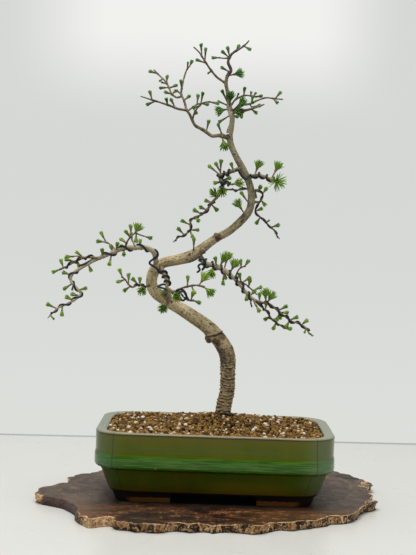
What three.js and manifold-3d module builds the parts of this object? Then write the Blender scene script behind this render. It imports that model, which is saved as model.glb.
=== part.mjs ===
// A larch bonsai in a green glazed pot, standing on a burl wood slab.
// Millimetres, +Z up. The origin is the centre of the slab's underside, and -Y is the front.
import * as THREE from 'three';
import { mergeVertices } from 'three/addons/utils/BufferGeometryUtils.js';
import Module from 'manifold-3d';

const wasm = await Module();
wasm.setup();

// ---------------------------------------------------------------- driving sizes

const GAP = 0.3;                    // clearance between pieces that touch on curved faces
const CUT_MARGIN = 1;               // how far a cutting block runs past the face that it opens

const SLAB_THICKNESS = 12;
const SLAB_EDGE_RAGGED = 2.2;       // how far the bark edge wanders in and out
const SLAB_EDGE_UNDERCUT = 4;

const POT_CENTRE = [3.5, -4];
const POT_HALF = [154.5, 109.5];    // a 309 x 219 pot, about 12 x 8.5 inches
const POT_HEIGHT = 92;
const POT_CORNER_CUT = 25;
const POT_CORNER_NARROWING = 0.25;  // share of an inset that the cut corner loses
const CREASE_ROUND = 8;             // how much each crease of a cut corner is softened
const FOOT_HEIGHT = 15;
const FOOT_WALL = 12;
const FOOT_GAP_HALF = [55, 34];     // half the gap between the feet, on the long and short sides
const FLOOR_ABOVE_FOOT = 8;         // thickness of the pot's floor
const INNER_TOP_INSET = 14;         // width of the rim
const INNER_LIP_ROUND = 1.4;        // softened inner edge of the rim
const INNER_FLOOR_INSET = 27;
const DRAIN_HOLE_RADIUS = 11;
const DRAIN_HOLE_OFFSET = 62;
const DRAIN_HOLE_SIDES = 12;

const MESH_PAD_SIZE = 36;
const MESH_PAD_THICKNESS = 1.2;
const MESH_CELLS = 3;
const MESH_CELL_SIZE = 8;
const MESH_CELL_PITCH = 10.6;

const SOIL_BELOW_RIM = 3.5;
const SOIL_MOUND_HEIGHT = 15;       // rise of the mound at the trunk
const SOIL_MOUND_SPREAD = 62;
const GRANULE_SPACING = 12;         // grains are larger than life here
const GRANULE_HEIGHT = 3.2;
const GRANULE_WANDER = 4;

const TRUNK_SIDES = 8;
const TRUNK_STEP = 15;              // distance between the rings along a stem
const BRANCH_STEP = 10.5;
const BRANCH_SIDES = 4;
const KNOT_SIDES = 6;
const WIRE_SIDES = 3;
const WIRE_STEPS_PER_TURN = 6;
const WIRE_SLACK = 0.3;             // how far a coil stands off the bark, beyond GAP

const SLAB_SEED = 7;
const SOIL_SEED = 21;
const BRANCH_SEED = 100;
const SPRAY_SEED = 300;

const POT_BASE_Z = SLAB_THICKNESS;
const RIM_Z = POT_BASE_Z + POT_HEIGHT;
const POT_UNDERSIDE_Z = POT_BASE_Z + FOOT_HEIGHT;
const POT_FLOOR_Z = POT_UNDERSIDE_Z + FLOOR_ABOVE_FOOT;

// Needle tufts. cap is the radius of the spur's flared top, and spread is the place that all
// the needles point away from, as a share of the flare: a high one opens the tuft.
const TUFTS = {
  bud: { sides: 3, cap: 1.2, spread: 0, needle: 0 },
  brush: { sides: 3, cap: 1.6, spread: -0.2, needle: 8 },
  fan: { sides: 5, cap: 1.7, spread: 0.15, needle: 10.5 },
  star: { sides: 7, cap: 1.8, spread: 0.6, needle: 13 },
};
const SPUR_RADIUS = 0.95;
const SPUR_ROOT_SHARE = 0.35;       // radius of the spur's sunk end, as a share of the stem's
const SPUR_FLARE = 1.8;             // length of the flared top
const SPUR_CROWN = 0.9;             // rise of the middle of the top over its edge
const NEEDLE_JITTER = 0.16;
const LOW_NEEDLE_SHARE = 0.92;      // length of the lower needles, as a share of the upper ones
const TRUNK_SPRAY_ROOT_DEPTH = 4;   // how deep in the trunk a spray's root point lies

// ---------------------------------------------------------------- the tree's lines

// The bare trunk from the soil to the crown: centre and radius.
const TRUNK_LINE = [
  [13, 6, 87, 10.5], [13, 6, 103, 10.8], [13, 6, 116, 10.4], [15, 5, 133, 9.5],
  [18, 4, 149, 9.4], [18, 2, 173, 9.4], [16, 0, 196, 10.2], [9, -2, 211, 10.2],
  [-8, -5, 230, 9.6], [-31, -8, 246, 8.7], [-51, -11, 258, 8.1], [-70, -14, 269, 8.1],
  [-83, -16, 279, 7.5], [-87, -19, 292, 7.1], [-83, -21, 307, 7.4], [-73, -20, 316, 6.8],
  [-53, -18, 321, 6.9], [-35, -16, 327, 7.6], [-21, -12, 338, 6.2], [-5, -9, 350, 5.2],
  [13, -5, 361, 4.9], [30, -1, 377, 4.9], [39, 2, 390, 4.7], [41, 2, 406, 4.7],
  [38, 0, 423, 4.6], [29, -3, 442, 4.6], [19, -7, 459, 4.2], [11, -10, 476, 4],
  [9, -11, 489, 3.9],
];

// Old pruning scars and knots on the trunk: centre and radius of each lump.
const TRUNK_KNOTS = [
  [-8, -13, 219, 6.5], [6, -7, 221, 6.5], [-66, -20, 275, 6], [-21, -17, 334, 5.5], [-4, -12, 355, 4.4],
];

// Every leafy stem. width is the diameter at the root and at the tip, line its centre line,
// and each tuft is the centre of its head and how far down the stem its spur starts.
const CROWN = {
  leader: {
    width: [7.8, 1.8], sides: 5,
    line: [[9, -11, 489.4], [12, -13, 508], [8, -14, 522], [5, -15, 541], [2, -14, 556], [4, -13, 565],
      [8, -13, 572], [4, -12, 582], [6, -10, 590], [11, -9, 596], [19, -8, 601], [27, -6, 608],
      [31, -5, 613]],
    brush: [[-3, -7, 596, 2], [3, -14, 600, 5], [17, -6, 604, 7], [31, -10, 601, 2], [-3, -18, 574, 10],
      [-2, -19, 543, 20], [-8, -18, 517, 0], [-4, -20, 504, -12], [17, -8, 512, -2], [22, -22, 519, -2]],
    bud: [[-7, -11, 531, 8]],
    fan: [[20, -18, 568, 8], [8, -26, 537, 15], [25, -26, 530, 11]],
  },
  topStub: {
    width: [2.2, 1.6], line: [[5, -10, 588], [-3, -7, 588], [-9, -4, 589]],
    brush: [[-15, -2, 589, 1]],
  },
  topLeft: {
    width: [3.4, 1.9],
    line: [[1, -13, 555], [-10, -16, 562], [-17, -19, 569], [-24, -22, 578], [-29, -24, 585],
      [-34, -26, 592], [-42, -29, 599]],
    brush: [[-32, -22, 602, 9], [-26, -26, 596, 11], [-36, -19, 583, 9]],
    bud: [[-21, -17, 567, 0]],
  },
  rightUpper: {
    width: [3.2, 1.8],
    line: [[8, -14, 523], [15, -8, 534], [21, -3, 538], [28, 1, 541], [37, 6, 541], [45, 11, 540]],
    brush: [[49, 13, 542, 4], [27, -3, 549, 1]],
    bud: [[19, -5, 542, 6], [36, 7, 546, 1], [42, 5, 545, 0]],
  },
  rightLong: {
    width: [3, 1.7],
    line: [[11, -15, 519], [19, -11, 523], [27, -7, 528], [35, -2, 530], [44, 5, 535], [56, 14, 540],
      [67, 21, 540], [80, 29, 540]],
    brush: [[75, 25, 548, 7], [71, 16, 535, 2], [38, 2, 539, 7], [39, -2, 532, -6]],
  },
  rightLongFork: {
    width: [1.9, 1.6], line: [[34, -2, 530], [38, 2, 526], [43, 5, 528]],
    brush: [[47, 2, 528, 4]],
  },
  rightShort: {
    width: [4.6, 1.8],
    line: [[11, -14, 516], [22, -20, 518], [32, -25, 520], [42, -30, 523], [53, -35, 527]],
    brush: [[42, -24, 517, 3], [24, -25, 511, -1]],
  },
};

const UPPER_LEFT = {
  main: {
    width: [5.8, 3.2], sides: 5,
    line: [[9, -11, 483], [-3, -15, 486], [-14, -18, 485], [-22, -21, 490], [-30, -24, 494], [-36, -26, 497],
      [-41, -29, 505], [-44, -31, 511], [-49, -33, 517]],
    brush: [[-19, -17, 503, 2], [-6, -19, 499, 5]],
    fan: [[3, -21, 472, -6]],
  },
  shelf: {
    width: [2.6, 1.6],
    line: [[-40, -28, 504], [-38, -33, 512], [-33, -39, 520], [-25, -44, 526], [-12, -51, 526]],
    brush: [[-9, -48, 525, 8], [-38, -35, 520, -7]],
  },
  shelfBack: {
    width: [2.6, 1.6], line: [[-47, -32, 515], [-41, -27, 520], [-35, -22, 525], [-28, -17, 527]],
    brush: [[-34, -18, 536, 6], [-28, -20, 539, 2], [-36, -29, 514, -3], [-22, -15, 526, 1]],
  },
  upright: {
    width: [3.2, 1.8],
    line: [[-48, -33, 516], [-52, -26, 529], [-56, -19, 538], [-55, -12, 551], [-53, -7, 562],
      [-50, -2, 572], [-46, 1, 578]],
    brush: [[-44, 3, 583, 1], [-57, -18, 554, 5], [-46, -21, 535, 4]],
    bud: [[-49, -4, 581, 6], [-61, -16, 542, 5]],
  },
  uprightFork: {
    width: [3, 1.6],
    line: [[-55, -20, 535], [-62, -14, 534], [-69, -9, 539], [-73, -3, 548], [-78, 2, 556],
      [-86, 10, 564], [-95, 17, 573]],
    brush: [[-64, -7, 550, -2], [-64, -4, 543, 6], [-83, 0, 547, 6], [-76, -14, 540, 2],
      [-76, 4, 562, 7], [-98, 9, 569, 5]],
    bud: [[-82, -3, 554, 2], [-85, 4, 557, -1]],
  },
  sweep: {
    width: [3.4, 1.6],
    line: [[-48, -33, 516], [-59, -38, 517], [-69, -45, 520], [-81, -51, 523], [-94, -59, 526],
      [-107, -67, 529]],
    brush: [[-68, -37, 528, 4], [-74, -51, 527, 4], [-95, -55, 535, 2], [-97, -59, 520, 9]],
  },
};

const RIGHT_MID = {
  main: {
    width: [4.8, 3.8], sides: 5,
    line: [[35, 0, 429], [43, -8, 435], [53, -18, 435], [61, -25, 432], [70, -33, 429]],
    fan: [[49, -5, 451, 2], [74, -24, 449, -1]],
    star: [[74, -38, 427, 1]],
  },
};

const LEFT_MID = {
  main: {
    width: [5.2, 1.6], sides: 5,
    line: [[25, -7, 444], [17, -8, 441], [8, -7, 437], [-2, -10, 433], [1, -13, 424], [2, -14, 415],
      [-3, -11, 407], [-11, -7, 398], [-16, -2, 390], [-24, 4, 382], [-36, 11, 376], [-39, 14, 370],
      [-39, 19, 360], [-47, 24, 354], [-56, 29, 349], [-62, 33, 343]],
    brush: [[-15, -6, 445, 0], [-7, -14, 448, 2], [-1, -4, 452, -6], [10, -17, 430, 2],
      [13, -4, 449, 0], [-7, -8, 424, -3], [-18, -2, 400, 3], [-5, -10, 389, 0], [-25, -4, 391, 1],
      [-33, 8, 387, 8], [-29, 4, 374, -4], [-49, 18, 372, -2], [-54, 21, 361, 1],
      [-30, 22, 361, 0], [-36, 13, 353, 0]],
    fan: [[2, -21, 414, 3], [-8, -16, 409, -3]],
  },
  spur: {
    width: [2.8, 2.2], line: [[0, -13, 426], [6, -21, 424], [13, -28, 422], [19, -34, 423]],
    fan: [[23, -36, 424, 6]],
  },
  backDrop: {
    width: [2.6, 1.5],
    line: [[1, -13, 415], [12, -1, 416], [23, 11, 416], [34, 20, 418], [46, 25, 417], [57, 29, 412],
      [56, 31, 405], [50, 33, 398], [48, 35, 390], [54, 38, 382], [63, 40, 374], [72, 43, 367],
      [77, 45, 360], [83, 47, 352]],
    brush: [[53, 22, 421, 0], [61, 32, 419, 0], [47, 30, 409, 3], [46, 28, 401, 4],
      [60, 35, 399, 1], [55, 32, 392, -6], [51, 42, 374, 2], [79, 39, 371, 2]],
    bud: [[67, 42, 377, 2], [80, 48, 355, 6]],
  },
};

const LEFT_LOW = {
  main: {
    width: [7.6, 1.6], sides: 5,
    line: [[-81, -19, 306], [-82, -27, 321], [-86, -33, 331], [-95, -34, 336], [-108, -36, 335],
      [-120, -37, 335], [-131, -38, 331], [-144, -40, 325], [-156, -42, 320], [-168, -43, 313],
      [-179, -47, 306], [-189, -51, 298], [-189, -54, 289], [-181, -57, 281], [-176, -59, 274],
      [-182, -62, 267], [-194, -66, 260], [-204, -70, 255], [-210, -72, 249], [-216, -75, 242]],
    brush: [[-103, -30, 344, -1], [-123, -43, 327, 2], [-132, -42, 339, -5], [-140, -35, 334, -1],
      [-151, -45, 330, -2], [-141, -46, 314, 8], [-197, -51, 280, -1], [-186, -59, 273, 6],
      [-184, -55, 267, 4], [-192, -66, 269, 5], [-171, -61, 281, 3], [-199, -47, 300, 0],
      [-216, -67, 259, 3], [-198, -71, 248, 6], [-166, -38, 305, 0]],
    bud: [[-188, -49, 279, 1], [-127, -33, 338, 5], [-208, -77, 242, 1]],
  },
  fork: {
    width: [3.6, 2],
    line: [[-156, -44, 320], [-167, -42, 321], [-175, -39, 320], [-186, -34, 315], [-198, -28, 308],
      [-210, -23, 302]],
    brush: [[-215, -21, 300, 4], [-184, -35, 326, 7], [-197, -38, 317, 6], [-182, -31, 310, 2],
      [-206, -23, 314, 0]],
  },
  forkTwig: {
    width: [2, 1.6], line: [[-175, -39, 320], [-183, -46, 322], [-191, -51, 321]],
    brush: [[-195, -53, 321, 3]],
  },
  riser: {
    width: [2.6, 1.8], line: [[-133, -40, 330], [-141, -34, 338], [-150, -29, 342]],
    brush: [[-154, -28, 352, 3], [-157, -34, 342, 2]],
  },
  topTwig: {
    width: [2.8, 2], line: [[-122, -38, 335], [-119, -46, 343], [-114, -51, 350], [-108, -55, 355]],
    brush: [[-115, -48, 362, 4], [-120, -54, 355, 3], [-126, -42, 345, 0]],
    fan: [[-105, -57, 362, 1]],
  },
  topTwigTip: {
    width: [2, 1.6], line: [[-109, -55, 355], [-101, -59, 352], [-93, -65, 350]],
    brush: [[-89, -67, 349, 5], [-107, -61, 345, 5]],
  },
  thinTwig: {
    width: [1.9, 1.6], line: [[-109, -38, 336], [-113, -32, 344], [-115, -30, 347]],
    brush: [[-115, -29, 352, 3]],
  },
};

const LEFT_SMALL = {
  main: {
    width: [3, 1.8],
    line: [[-87, -22, 287], [-95, -29, 285], [-103, -34, 287], [-111, -40, 284], [-116, -44, 288],
      [-120, -49, 294], [-125, -53, 298]],
    brush: [[-128, -51, 291, 6], [-116, -39, 299, 5], [-110, -38, 294, 4], [-102, -29, 294, 0],
      [-120, -38, 280, 0], [-127, -49, 305, 2]],
    fan: [[-98, -38, 280, 2]],
  },
};

const HOOK = {
  main: {
    width: [4.6, 3.2],
    line: [[-76, -24, 312], [-69, -36, 300], [-65, -43, 291], [-66, -45, 286], [-60, -47, 281],
      [-53, -49, 280]],
    fan: [[-53, -56, 275, 3]],
    brush: [[-69, -40, 279, -3]],
  },
  upper: {
    width: [3, 2.1],
    line: [[-54, -49, 280], [-47, -51, 285], [-38, -54, 288], [-27, -58, 290], [-16, -61, 288]],
    fan: [[-17, -55, 301, 3], [-9, -65, 282, 2]],
    brush: [[-39, -50, 299, 1], [-30, -62, 281, 4]],
  },
  lower: {
    width: [2.6, 2],
    line: [[-54, -49, 280], [-47, -46, 278], [-44, -44, 274], [-39, -42, 270], [-29, -38, 269]],
    brush: [[-32, -39, 278, 2], [-24, -37, 267, 2]],
  },
};

const RIGHT_LOW = {
  main: {
    width: [7.4, 3.4], sides: 5,
    line: [[-27, -8, 330], [-17, -16, 318], [-6, -20, 315], [6, -24, 310], [16, -27, 304], [25, -29, 296],
      [33, -31, 287], [41, -33, 278], [52, -35, 270]],
    fan: [[8, -18, 329, 0], [22, -21, 321, -3], [-9, -29, 305, 3]],
    brush: [[-4, -28, 324, -3], [7, -30, 293, 10], [10, -19, 300, 4], [38, -38, 274, 4],
      [48, -28, 283, 0]],
  },
  droop: {
    width: [3, 1.6],
    line: [[51, -35, 271], [61, -37, 269], [70, -39, 267], [79, -42, 260], [87, -45, 254],
      [96, -48, 248], [107, -51, 244], [114, -53, 241], [121, -57, 231]],
    brush: [[55, -32, 279, -2], [89, -39, 265, 3], [90, -50, 258, 8], [79, -40, 249, 2],
      [103, -45, 252, 5], [91, -51, 241, 1], [116, -48, 248, 2]],
    fan: [[62, -44, 283, -3], [71, -33, 279, 2]],
    bud: [[114, -58, 234, 4], [124, -54, 230, 3]],
  },
  inner: {
    width: [2.8, 1.8],
    line: [[49, -33, 272], [55, -29, 266], [65, -22, 258], [73, -18, 247], [83, -14, 240], [92, -11, 234]],
    brush: [[65, -19, 267, -1], [65, -15, 247, 1], [83, -16, 249, 7], [97, -13, 235, 3], [76, -19, 236, 0]],
  },
  shelf: {
    width: [2.2, 1.6], line: [[26, -30, 296], [35, -26, 293], [43, -20, 287], [53, -13, 278]],
    brush: [[28, -34, 304, -5], [41, -24, 300, 5], [42, -25, 296, -4], [56, -14, 288, 5]],
  },
  riser: {
    width: [2.4, 1.9], line: [[22, -29, 299], [28, -38, 313], [36, -43, 317]],
    brush: [[38, -45, 322, 2], [29, -35, 322, 0]],
  },
  stub: {
    width: [2.4, 2], line: [[47, -34, 274], [49, -39, 268], [52, -43, 264]],
    brush: [[54, -45, 260, 2]],
  },
};

// Sprays that spring straight from the trunk: kind, root on the trunk, and head.
const TRUNK_SPRAYS = {
  spray_upper: { kind: 'brush', root: [33, -4, 384], head: [23, -9, 398] },
  spray_bend: { kind: 'brush', root: [40, -2, 396], head: [28, -7, 411] },
  spray_middle: { kind: 'fan', root: [-33, -19, 333], head: [-33, -26, 348] },
  spray_front: { kind: 'fan', root: [-63, -19, 265], head: [-70, -32, 257] },
  spray_knot: { kind: 'brush', root: [-75, -21, 273], head: [-68, -29, 280] },
};

const BRANCHES = {
  crown: CROWN,
  branch_upper_left: UPPER_LEFT,
  branch_right_mid: RIGHT_MID,
  branch_left_mid: LEFT_MID,
  branch_left_low: LEFT_LOW,
  branch_left_small: LEFT_SMALL,
  branch_hook: HOOK,
  branch_right_low: RIGHT_LOW,
};

// Training wires. Each is a run of coils round stems and free points between them. A coil goes
// from one share of its stem to another (0 = root, 1 = tip) in so many turns; phase, in turns,
// is where round the stem it starts.
const WIRES = {
  wire_left_hook: {
    radius: 1.2, parts: [
      { stem: HOOK.lower, from: 0.5, to: 0.1, turns: 1.5, phase: 0.96 },
      { stem: HOOK.main, from: 0.92, to: 0.3, turns: 2, phase: 0.1 },
      { points: [[-77, -30, 304], [-80, -31, 309], [-90, -31, 316]] },
      { stem: LEFT_LOW.main, from: 0.1, to: 0.45, turns: 3.5, phase: 0.63 },
    ],
  },
  wire_left_low: {
    radius: 1, parts: [
      { stem: LEFT_LOW.fork, from: 0.85, to: 0.1, turns: 3, phase: 0 },
      { stem: LEFT_LOW.main, from: 0.55, to: 0.97, turns: 5, phase: 0.65 },
    ],
  },
  wire_right_low: {
    radius: 1.2, parts: [
      { stem: RIGHT_LOW.main, from: 0.1, to: 0.93, turns: 7, phase: 0.94 },
      { stem: RIGHT_LOW.droop, from: 0.08, to: 0.95, turns: 4.5, phase: 0.86 },
    ],
  },
  wire_right_inner: {
    radius: 0.8, parts: [
      { stem: RIGHT_LOW.inner, from: 0.24, to: 0.95, turns: 3, phase: 0.4 },
    ],
  },
  wire_mid: {
    radius: 1.2, parts: [
      { stem: LEFT_MID.spur, from: 0.7, to: 0.15, turns: 2, phase: 0.24 },
      { stem: LEFT_MID.main, from: 0.2, to: 0.08, turns: 2.5, phase: 0.5 },
      { points: [[22, -12, 441], [26, -12, 435], [32, -11, 430]] },
      { stem: RIGHT_MID.main, from: 0.2, to: 0.95, turns: 3, phase: 0.3 },
    ],
  },
  wire_left_mid: {
    radius: 0.8, parts: [
      { stem: LEFT_MID.main, from: 0.42, to: 0.98, turns: 5, phase: 0.2 },
    ],
  },
  wire_back: {
    radius: 0.8, parts: [
      { stem: LEFT_MID.backDrop, from: 0.12, to: 0.95, turns: 5, phase: 0.36 },
    ],
  },
  wire_left_small: {
    radius: 0.8, parts: [
      { stem: LEFT_SMALL.main, from: 0.15, to: 0.5, turns: 2, phase: 0.06 },
    ],
  },
};

// ---------------------------------------------------------------- small helpers

/** Repeatable random numbers from 0 to 1. */
function seeded(seed) {
  let state = seed;
  return () => {
    state = (state * 1664525 + 1013904223) % 4294967296;
    return state / 4294967296;
  };
}

const vector = ([x, y, z]) => new THREE.Vector3(x, y, z);

/** A smooth curve through a stem's points. */
function curveThrough(points) {
  return new THREE.CatmullRomCurve3(points.map(vector), false, 'centripetal');
}

/** Geometry from a list of points and a list of three-point faces. */
function meshGeometry(points, faces) {
  const geometry = new THREE.BufferGeometry();
  const places = points.flatMap((point) => point.toArray());
  geometry.setAttribute('position', new THREE.Float32BufferAttribute(places, 3));
  geometry.setIndex(faces.flat());
  return geometry;
}

/** A closed solid for joining and cutting. */
function solid(geometry) {
  const bare = geometry.clone();
  bare.deleteAttribute('normal');
  bare.deleteAttribute('uv');
  const merged = mergeVertices(bare, 1e-4);
  return new wasm.Manifold(new wasm.Mesh({
    numProp: 3,
    vertProperties: new Float32Array(merged.attributes.position.array),
    triVerts: new Uint32Array(merged.index.array),
  }));
}

/** The geometry of a solid, without any loose scraps that a cut left. */
function bodyGeometry(shape) {
  const pieces = shape.decompose().sort((a, b) => b.volume() - a.volume());
  const mesh = pieces[0].getMesh();
  const geometry = new THREE.BufferGeometry();
  const places = new Float32Array(mesh.numVert * 3);
  for (let i = 0; i < mesh.numVert; i += 1) {
    places.set(mesh.vertProperties.subarray(i * mesh.numProp, i * mesh.numProp + 3), i * 3);
  }
  geometry.setAttribute('position', new THREE.BufferAttribute(places, 3));
  geometry.setIndex(new THREE.BufferAttribute(new Uint32Array(mesh.triVerts), 1));
  return geometry;
}

/** A closed tube with a ring of points at each centre and a point at each end. */
function tube(centres, radii, sides) {
  const points = [];
  const faces = [];
  const last = centres.length - 1;
  let across = new THREE.Vector3(1, 0, 0);
  centres.forEach((centre, i) => {
    const along = centres[Math.min(i + 1, last)].clone().sub(centres[Math.max(i - 1, 0)]).normalize();
    if (i === 0 && Math.abs(along.x) > 0.8) across = new THREE.Vector3(0, 1, 0);
    across.addScaledVector(along, -across.dot(along)).normalize();
    const up = along.clone().cross(across);
    for (let k = 0; k < sides; k += 1) {
      const angle = (k / sides) * Math.PI * 2;
      points.push(centre.clone()
        .addScaledVector(across, Math.cos(angle) * radii[i])
        .addScaledVector(up, Math.sin(angle) * radii[i]));
    }
  });
  for (let i = 0; i < last; i += 1) {
    for (let k = 0; k < sides; k += 1) {
      const a = i * sides + k;
      const b = i * sides + (k + 1) % sides;
      faces.push([a, b, b + sides], [a, b + sides, a + sides]);
    }
  }
  const first = points.push(centres[0].clone()) - 1;
  const end = points.push(centres[last].clone()) - 1;
  for (let k = 0; k < sides; k += 1) {
    const next = (k + 1) % sides;
    faces.push([first, next, k], [end, last * sides + k, last * sides + next]);
  }
  return meshGeometry(points, faces);
}

/** A block between two corners. */
function block(low, high) {
  const size = high.map((value, i) => value - low[i]);
  const geometry = new THREE.BoxGeometry(...size);
  geometry.translate(...low.map((value, i) => value + size[i] / 2));
  return solid(geometry);
}

// ---------------------------------------------------------------- slab

// The slab's wavy outline, anticlockwise from the left tip, seen from above.
const SLAB_OUTLINE = [
  [-229, -51], [-226, -58], [-220, -64], [-213, -68], [-205, -74], [-196, -81], [-188, -89],
  [-182, -100], [-175, -114], [-170, -128], [-168, -151], [-161, -171], [-153, -186], [-146, -196],
  [-138, -193], [-131, -187], [-121, -183], [-116, -195], [-109, -202], [-98, -203], [-88, -211],
  [-80, -208], [-74, -212], [-66, -212], [-58, -210], [-49, -202], [-40, -198], [-32, -200],
  [-24, -204], [-15, -200], [-5, -198], [3, -204], [13, -197], [27, -194], [40, -198], [51, -202],
  [64, -194], [76, -181], [85, -173], [100, -175], [109, -167], [122, -159], [133, -148],
  [146, -139], [151, -129], [166, -124], [175, -115], [182, -103], [188, -91], [192, -71],
  [199, -54], [205, -43], [214, -34], [221, -20], [216, -9], [215, 15], [215, 55], [216, 91],
  [225, 94], [229, 101], [229, 115], [226, 125], [224, 136], [219, 142], [213, 146], [213, 160],
  [212, 171], [205, 182], [193, 189], [190, 203], [181, 209], [158, 212], [132, 206], [104, 211],
  [70, 204], [40, 212], [4, 206], [-34, 209], [-70, 199], [-104, 185], [-132, 166], [-148, 152],
  [-158, 141], [-173, 127], [-178, 113], [-188, 98], [-190, 84], [-198, 76], [-197, 55], [-194, 36],
  [-202, 31], [-208, 24], [-216, 11], [-226, 3], [-228, -9], [-227, -30],
];

/** The slab: a stack of outlines, cut under at the bottom and ragged at mid height. */
function slabGeometry() {
  const random = seeded(SLAB_SEED);
  const outline = SLAB_OUTLINE.map(([x, y]) => new THREE.Vector2(x, y));
  const count = outline.length;
  const levels = [
    [0, -SLAB_EDGE_UNDERCUT, 0.5], [SLAB_THICKNESS / 2, -SLAB_EDGE_RAGGED / 2, 1],
    [SLAB_THICKNESS, 0, 0],
  ];
  const points = [];
  levels.forEach(([z, outset, rough]) => {
    outline.forEach((p, i) => {
      const along = outline[(i + 1) % count].clone().sub(outline[(i + count - 1) % count]).normalize();
      const shift = outset + (random() - 0.5) * SLAB_EDGE_RAGGED * rough;
      points.push(new THREE.Vector3(p.x + along.y * shift, p.y - along.x * shift, z));
    });
  });
  const faces = [];
  for (let level = 0; level < levels.length - 1; level += 1) {
    for (let i = 0; i < count; i += 1) {
      const a = level * count + i;
      const b = level * count + (i + 1) % count;
      faces.push([a, b, b + count], [a, b + count, a + count]);
    }
  }
  const topStart = (levels.length - 1) * count;
  const flat = (start) => points.slice(start, start + count).map((p) => new THREE.Vector2(p.x, p.y));
  THREE.ShapeUtils.triangulateShape(flat(0), []).forEach(([a, b, c]) => faces.push([c, b, a]));
  THREE.ShapeUtils.triangulateShape(flat(topStart), [])
    .forEach(([a, b, c]) => faces.push([a + topStart, b + topStart, c + topStart]));
  return meshGeometry(points, faces);
}

// ---------------------------------------------------------------- pot

/** One level of the pot: a rectangle with cut corners, drawn in by inset. */
function potRing(inset, z) {
  const [halfX, halfY] = POT_HALF.map((half) => half - inset);
  const cut = POT_CORNER_CUT - inset * POT_CORNER_NARROWING;
  const soft = CREASE_ROUND;
  const slope = soft / Math.SQRT2;
  const corner = [
    [halfX, halfY - cut - soft], [halfX - slope, halfY - cut + slope],
    [halfX - cut + slope, halfY - slope], [halfX - cut - soft, halfY],
  ];
  const turned = corner.slice().reverse();
  const ring = [
    ...corner,
    ...turned.map(([x, y]) => [-x, y]),
    ...corner.map(([x, y]) => [-x, -y]),
    ...turned.map(([x, y]) => [x, -y]),
  ];
  return ring.map(([x, y]) => new THREE.Vector3(x + POT_CENTRE[0], y + POT_CENTRE[1], z));
}

/** A closed solid through a stack of pot rings, with flat ends. */
function potLoft(profile) {
  const rings = profile.map(([inset, z]) => potRing(inset, z));
  const points = rings.flat();
  const count = rings[0].length;
  const faces = [];
  for (let level = 0; level < rings.length - 1; level += 1) {
    for (let i = 0; i < count; i += 1) {
      const a = level * count + i;
      const b = level * count + (i + 1) % count;
      faces.push([a, b, b + count], [a, b + count, a + count]);
    }
  }
  const bottom = points.push(new THREE.Vector3(...POT_CENTRE, profile[0][1])) - 1;
  const top = points.push(new THREE.Vector3(...POT_CENTRE, profile[profile.length - 1][1])) - 1;
  const topStart = (rings.length - 1) * count;
  for (let i = 0; i < count; i += 1) {
    const next = (i + 1) % count;
    faces.push([bottom, next, i], [top, topStart + i, topStart + next]);
  }
  return solid(meshGeometry(points, faces));
}

// The outside, from the feet up: inset from the widest wall, and height below the rim.
const POT_PROFILE = [
  [26.5, -92], [20, -79], [18.5, -77.4], [15.8, -74.8], [13.2, -70.5], [10.9, -65], [8.6, -57],
  [7, -50.5], [5.8, -48], [1.6, -46], [-0.2, -43.5], [-0.2, -32], [0.9, -26], [1, -5.2],
  [0.9, -3.4], [0.8, -2], [1.6, -0.6], [3.2, 0],
];

/** Rings of the pot's hollow, from the floor to above the rim, drawn in by a clearance. */
function potCavity(clearance) {
  const topInset = INNER_TOP_INSET + clearance;
  const floorInset = INNER_FLOOR_INSET + clearance;
  const slope = (floorInset - topInset) / (RIM_Z - POT_FLOOR_Z);
  const lipInset = topInset - INNER_LIP_ROUND;
  return [
    [floorInset, POT_FLOOR_Z], [topInset + slope * INNER_LIP_ROUND, RIM_Z - INNER_LIP_ROUND],
    [lipInset, RIM_Z], [lipInset, RIM_Z + 2 * SOIL_MOUND_HEIGHT],
  ];
}

/** The pot: its outside, less the hollow, the space under it, the gaps between feet and two holes. */
function potGeometry() {
  const outside = potLoft(POT_PROFILE.map(([inset, below]) => [inset, RIM_Z + below]));
  const [cx, cy] = POT_CENTRE;
  const footInset = POT_PROFILE[0][0] + FOOT_WALL;
  const low = POT_BASE_Z - CUT_MARGIN;
  const high = POT_UNDERSIDE_Z;
  const under = potLoft([[footInset, low], [footInset, high]]);
  const [gapX, gapY] = FOOT_GAP_HALF;
  const [reachX, reachY] = POT_HALF;
  const frontGap = block([cx - gapX, cy - reachY, low], [cx + gapX, cy + reachY, high]);
  const sideGap = block([cx - reachX, cy - gapY, low], [cx + reachX, cy + gapY, high]);
  let pot = outside.subtract(potLoft(potCavity(0)))
    .subtract(under).subtract(frontGap).subtract(sideGap);
  [-1, 1].forEach((side) => {
    const length = FLOOR_ABOVE_FOOT + 2 * CUT_MARGIN;
    const hole = new THREE.CylinderGeometry(DRAIN_HOLE_RADIUS, DRAIN_HOLE_RADIUS, length, DRAIN_HOLE_SIDES);
    hole.rotateX(Math.PI / 2);
    hole.translate(cx + side * DRAIN_HOLE_OFFSET, cy, POT_FLOOR_Z - FLOOR_ABOVE_FOOT / 2);
    pot = pot.subtract(solid(hole));
  });
  return bodyGeometry(pot);
}

/** A block with the size of a netting pad on the pot's floor, grown by a clearance. */
function meshPadBlock(side, clearance) {
  const x = POT_CENTRE[0] + side * DRAIN_HOLE_OFFSET;
  const y = POT_CENTRE[1];
  const half = MESH_PAD_SIZE / 2 + clearance;
  const top = POT_FLOOR_Z + MESH_PAD_THICKNESS + clearance;
  return block([x - half, y - half, POT_FLOOR_Z], [x + half, y + half, top]);
}

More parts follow.
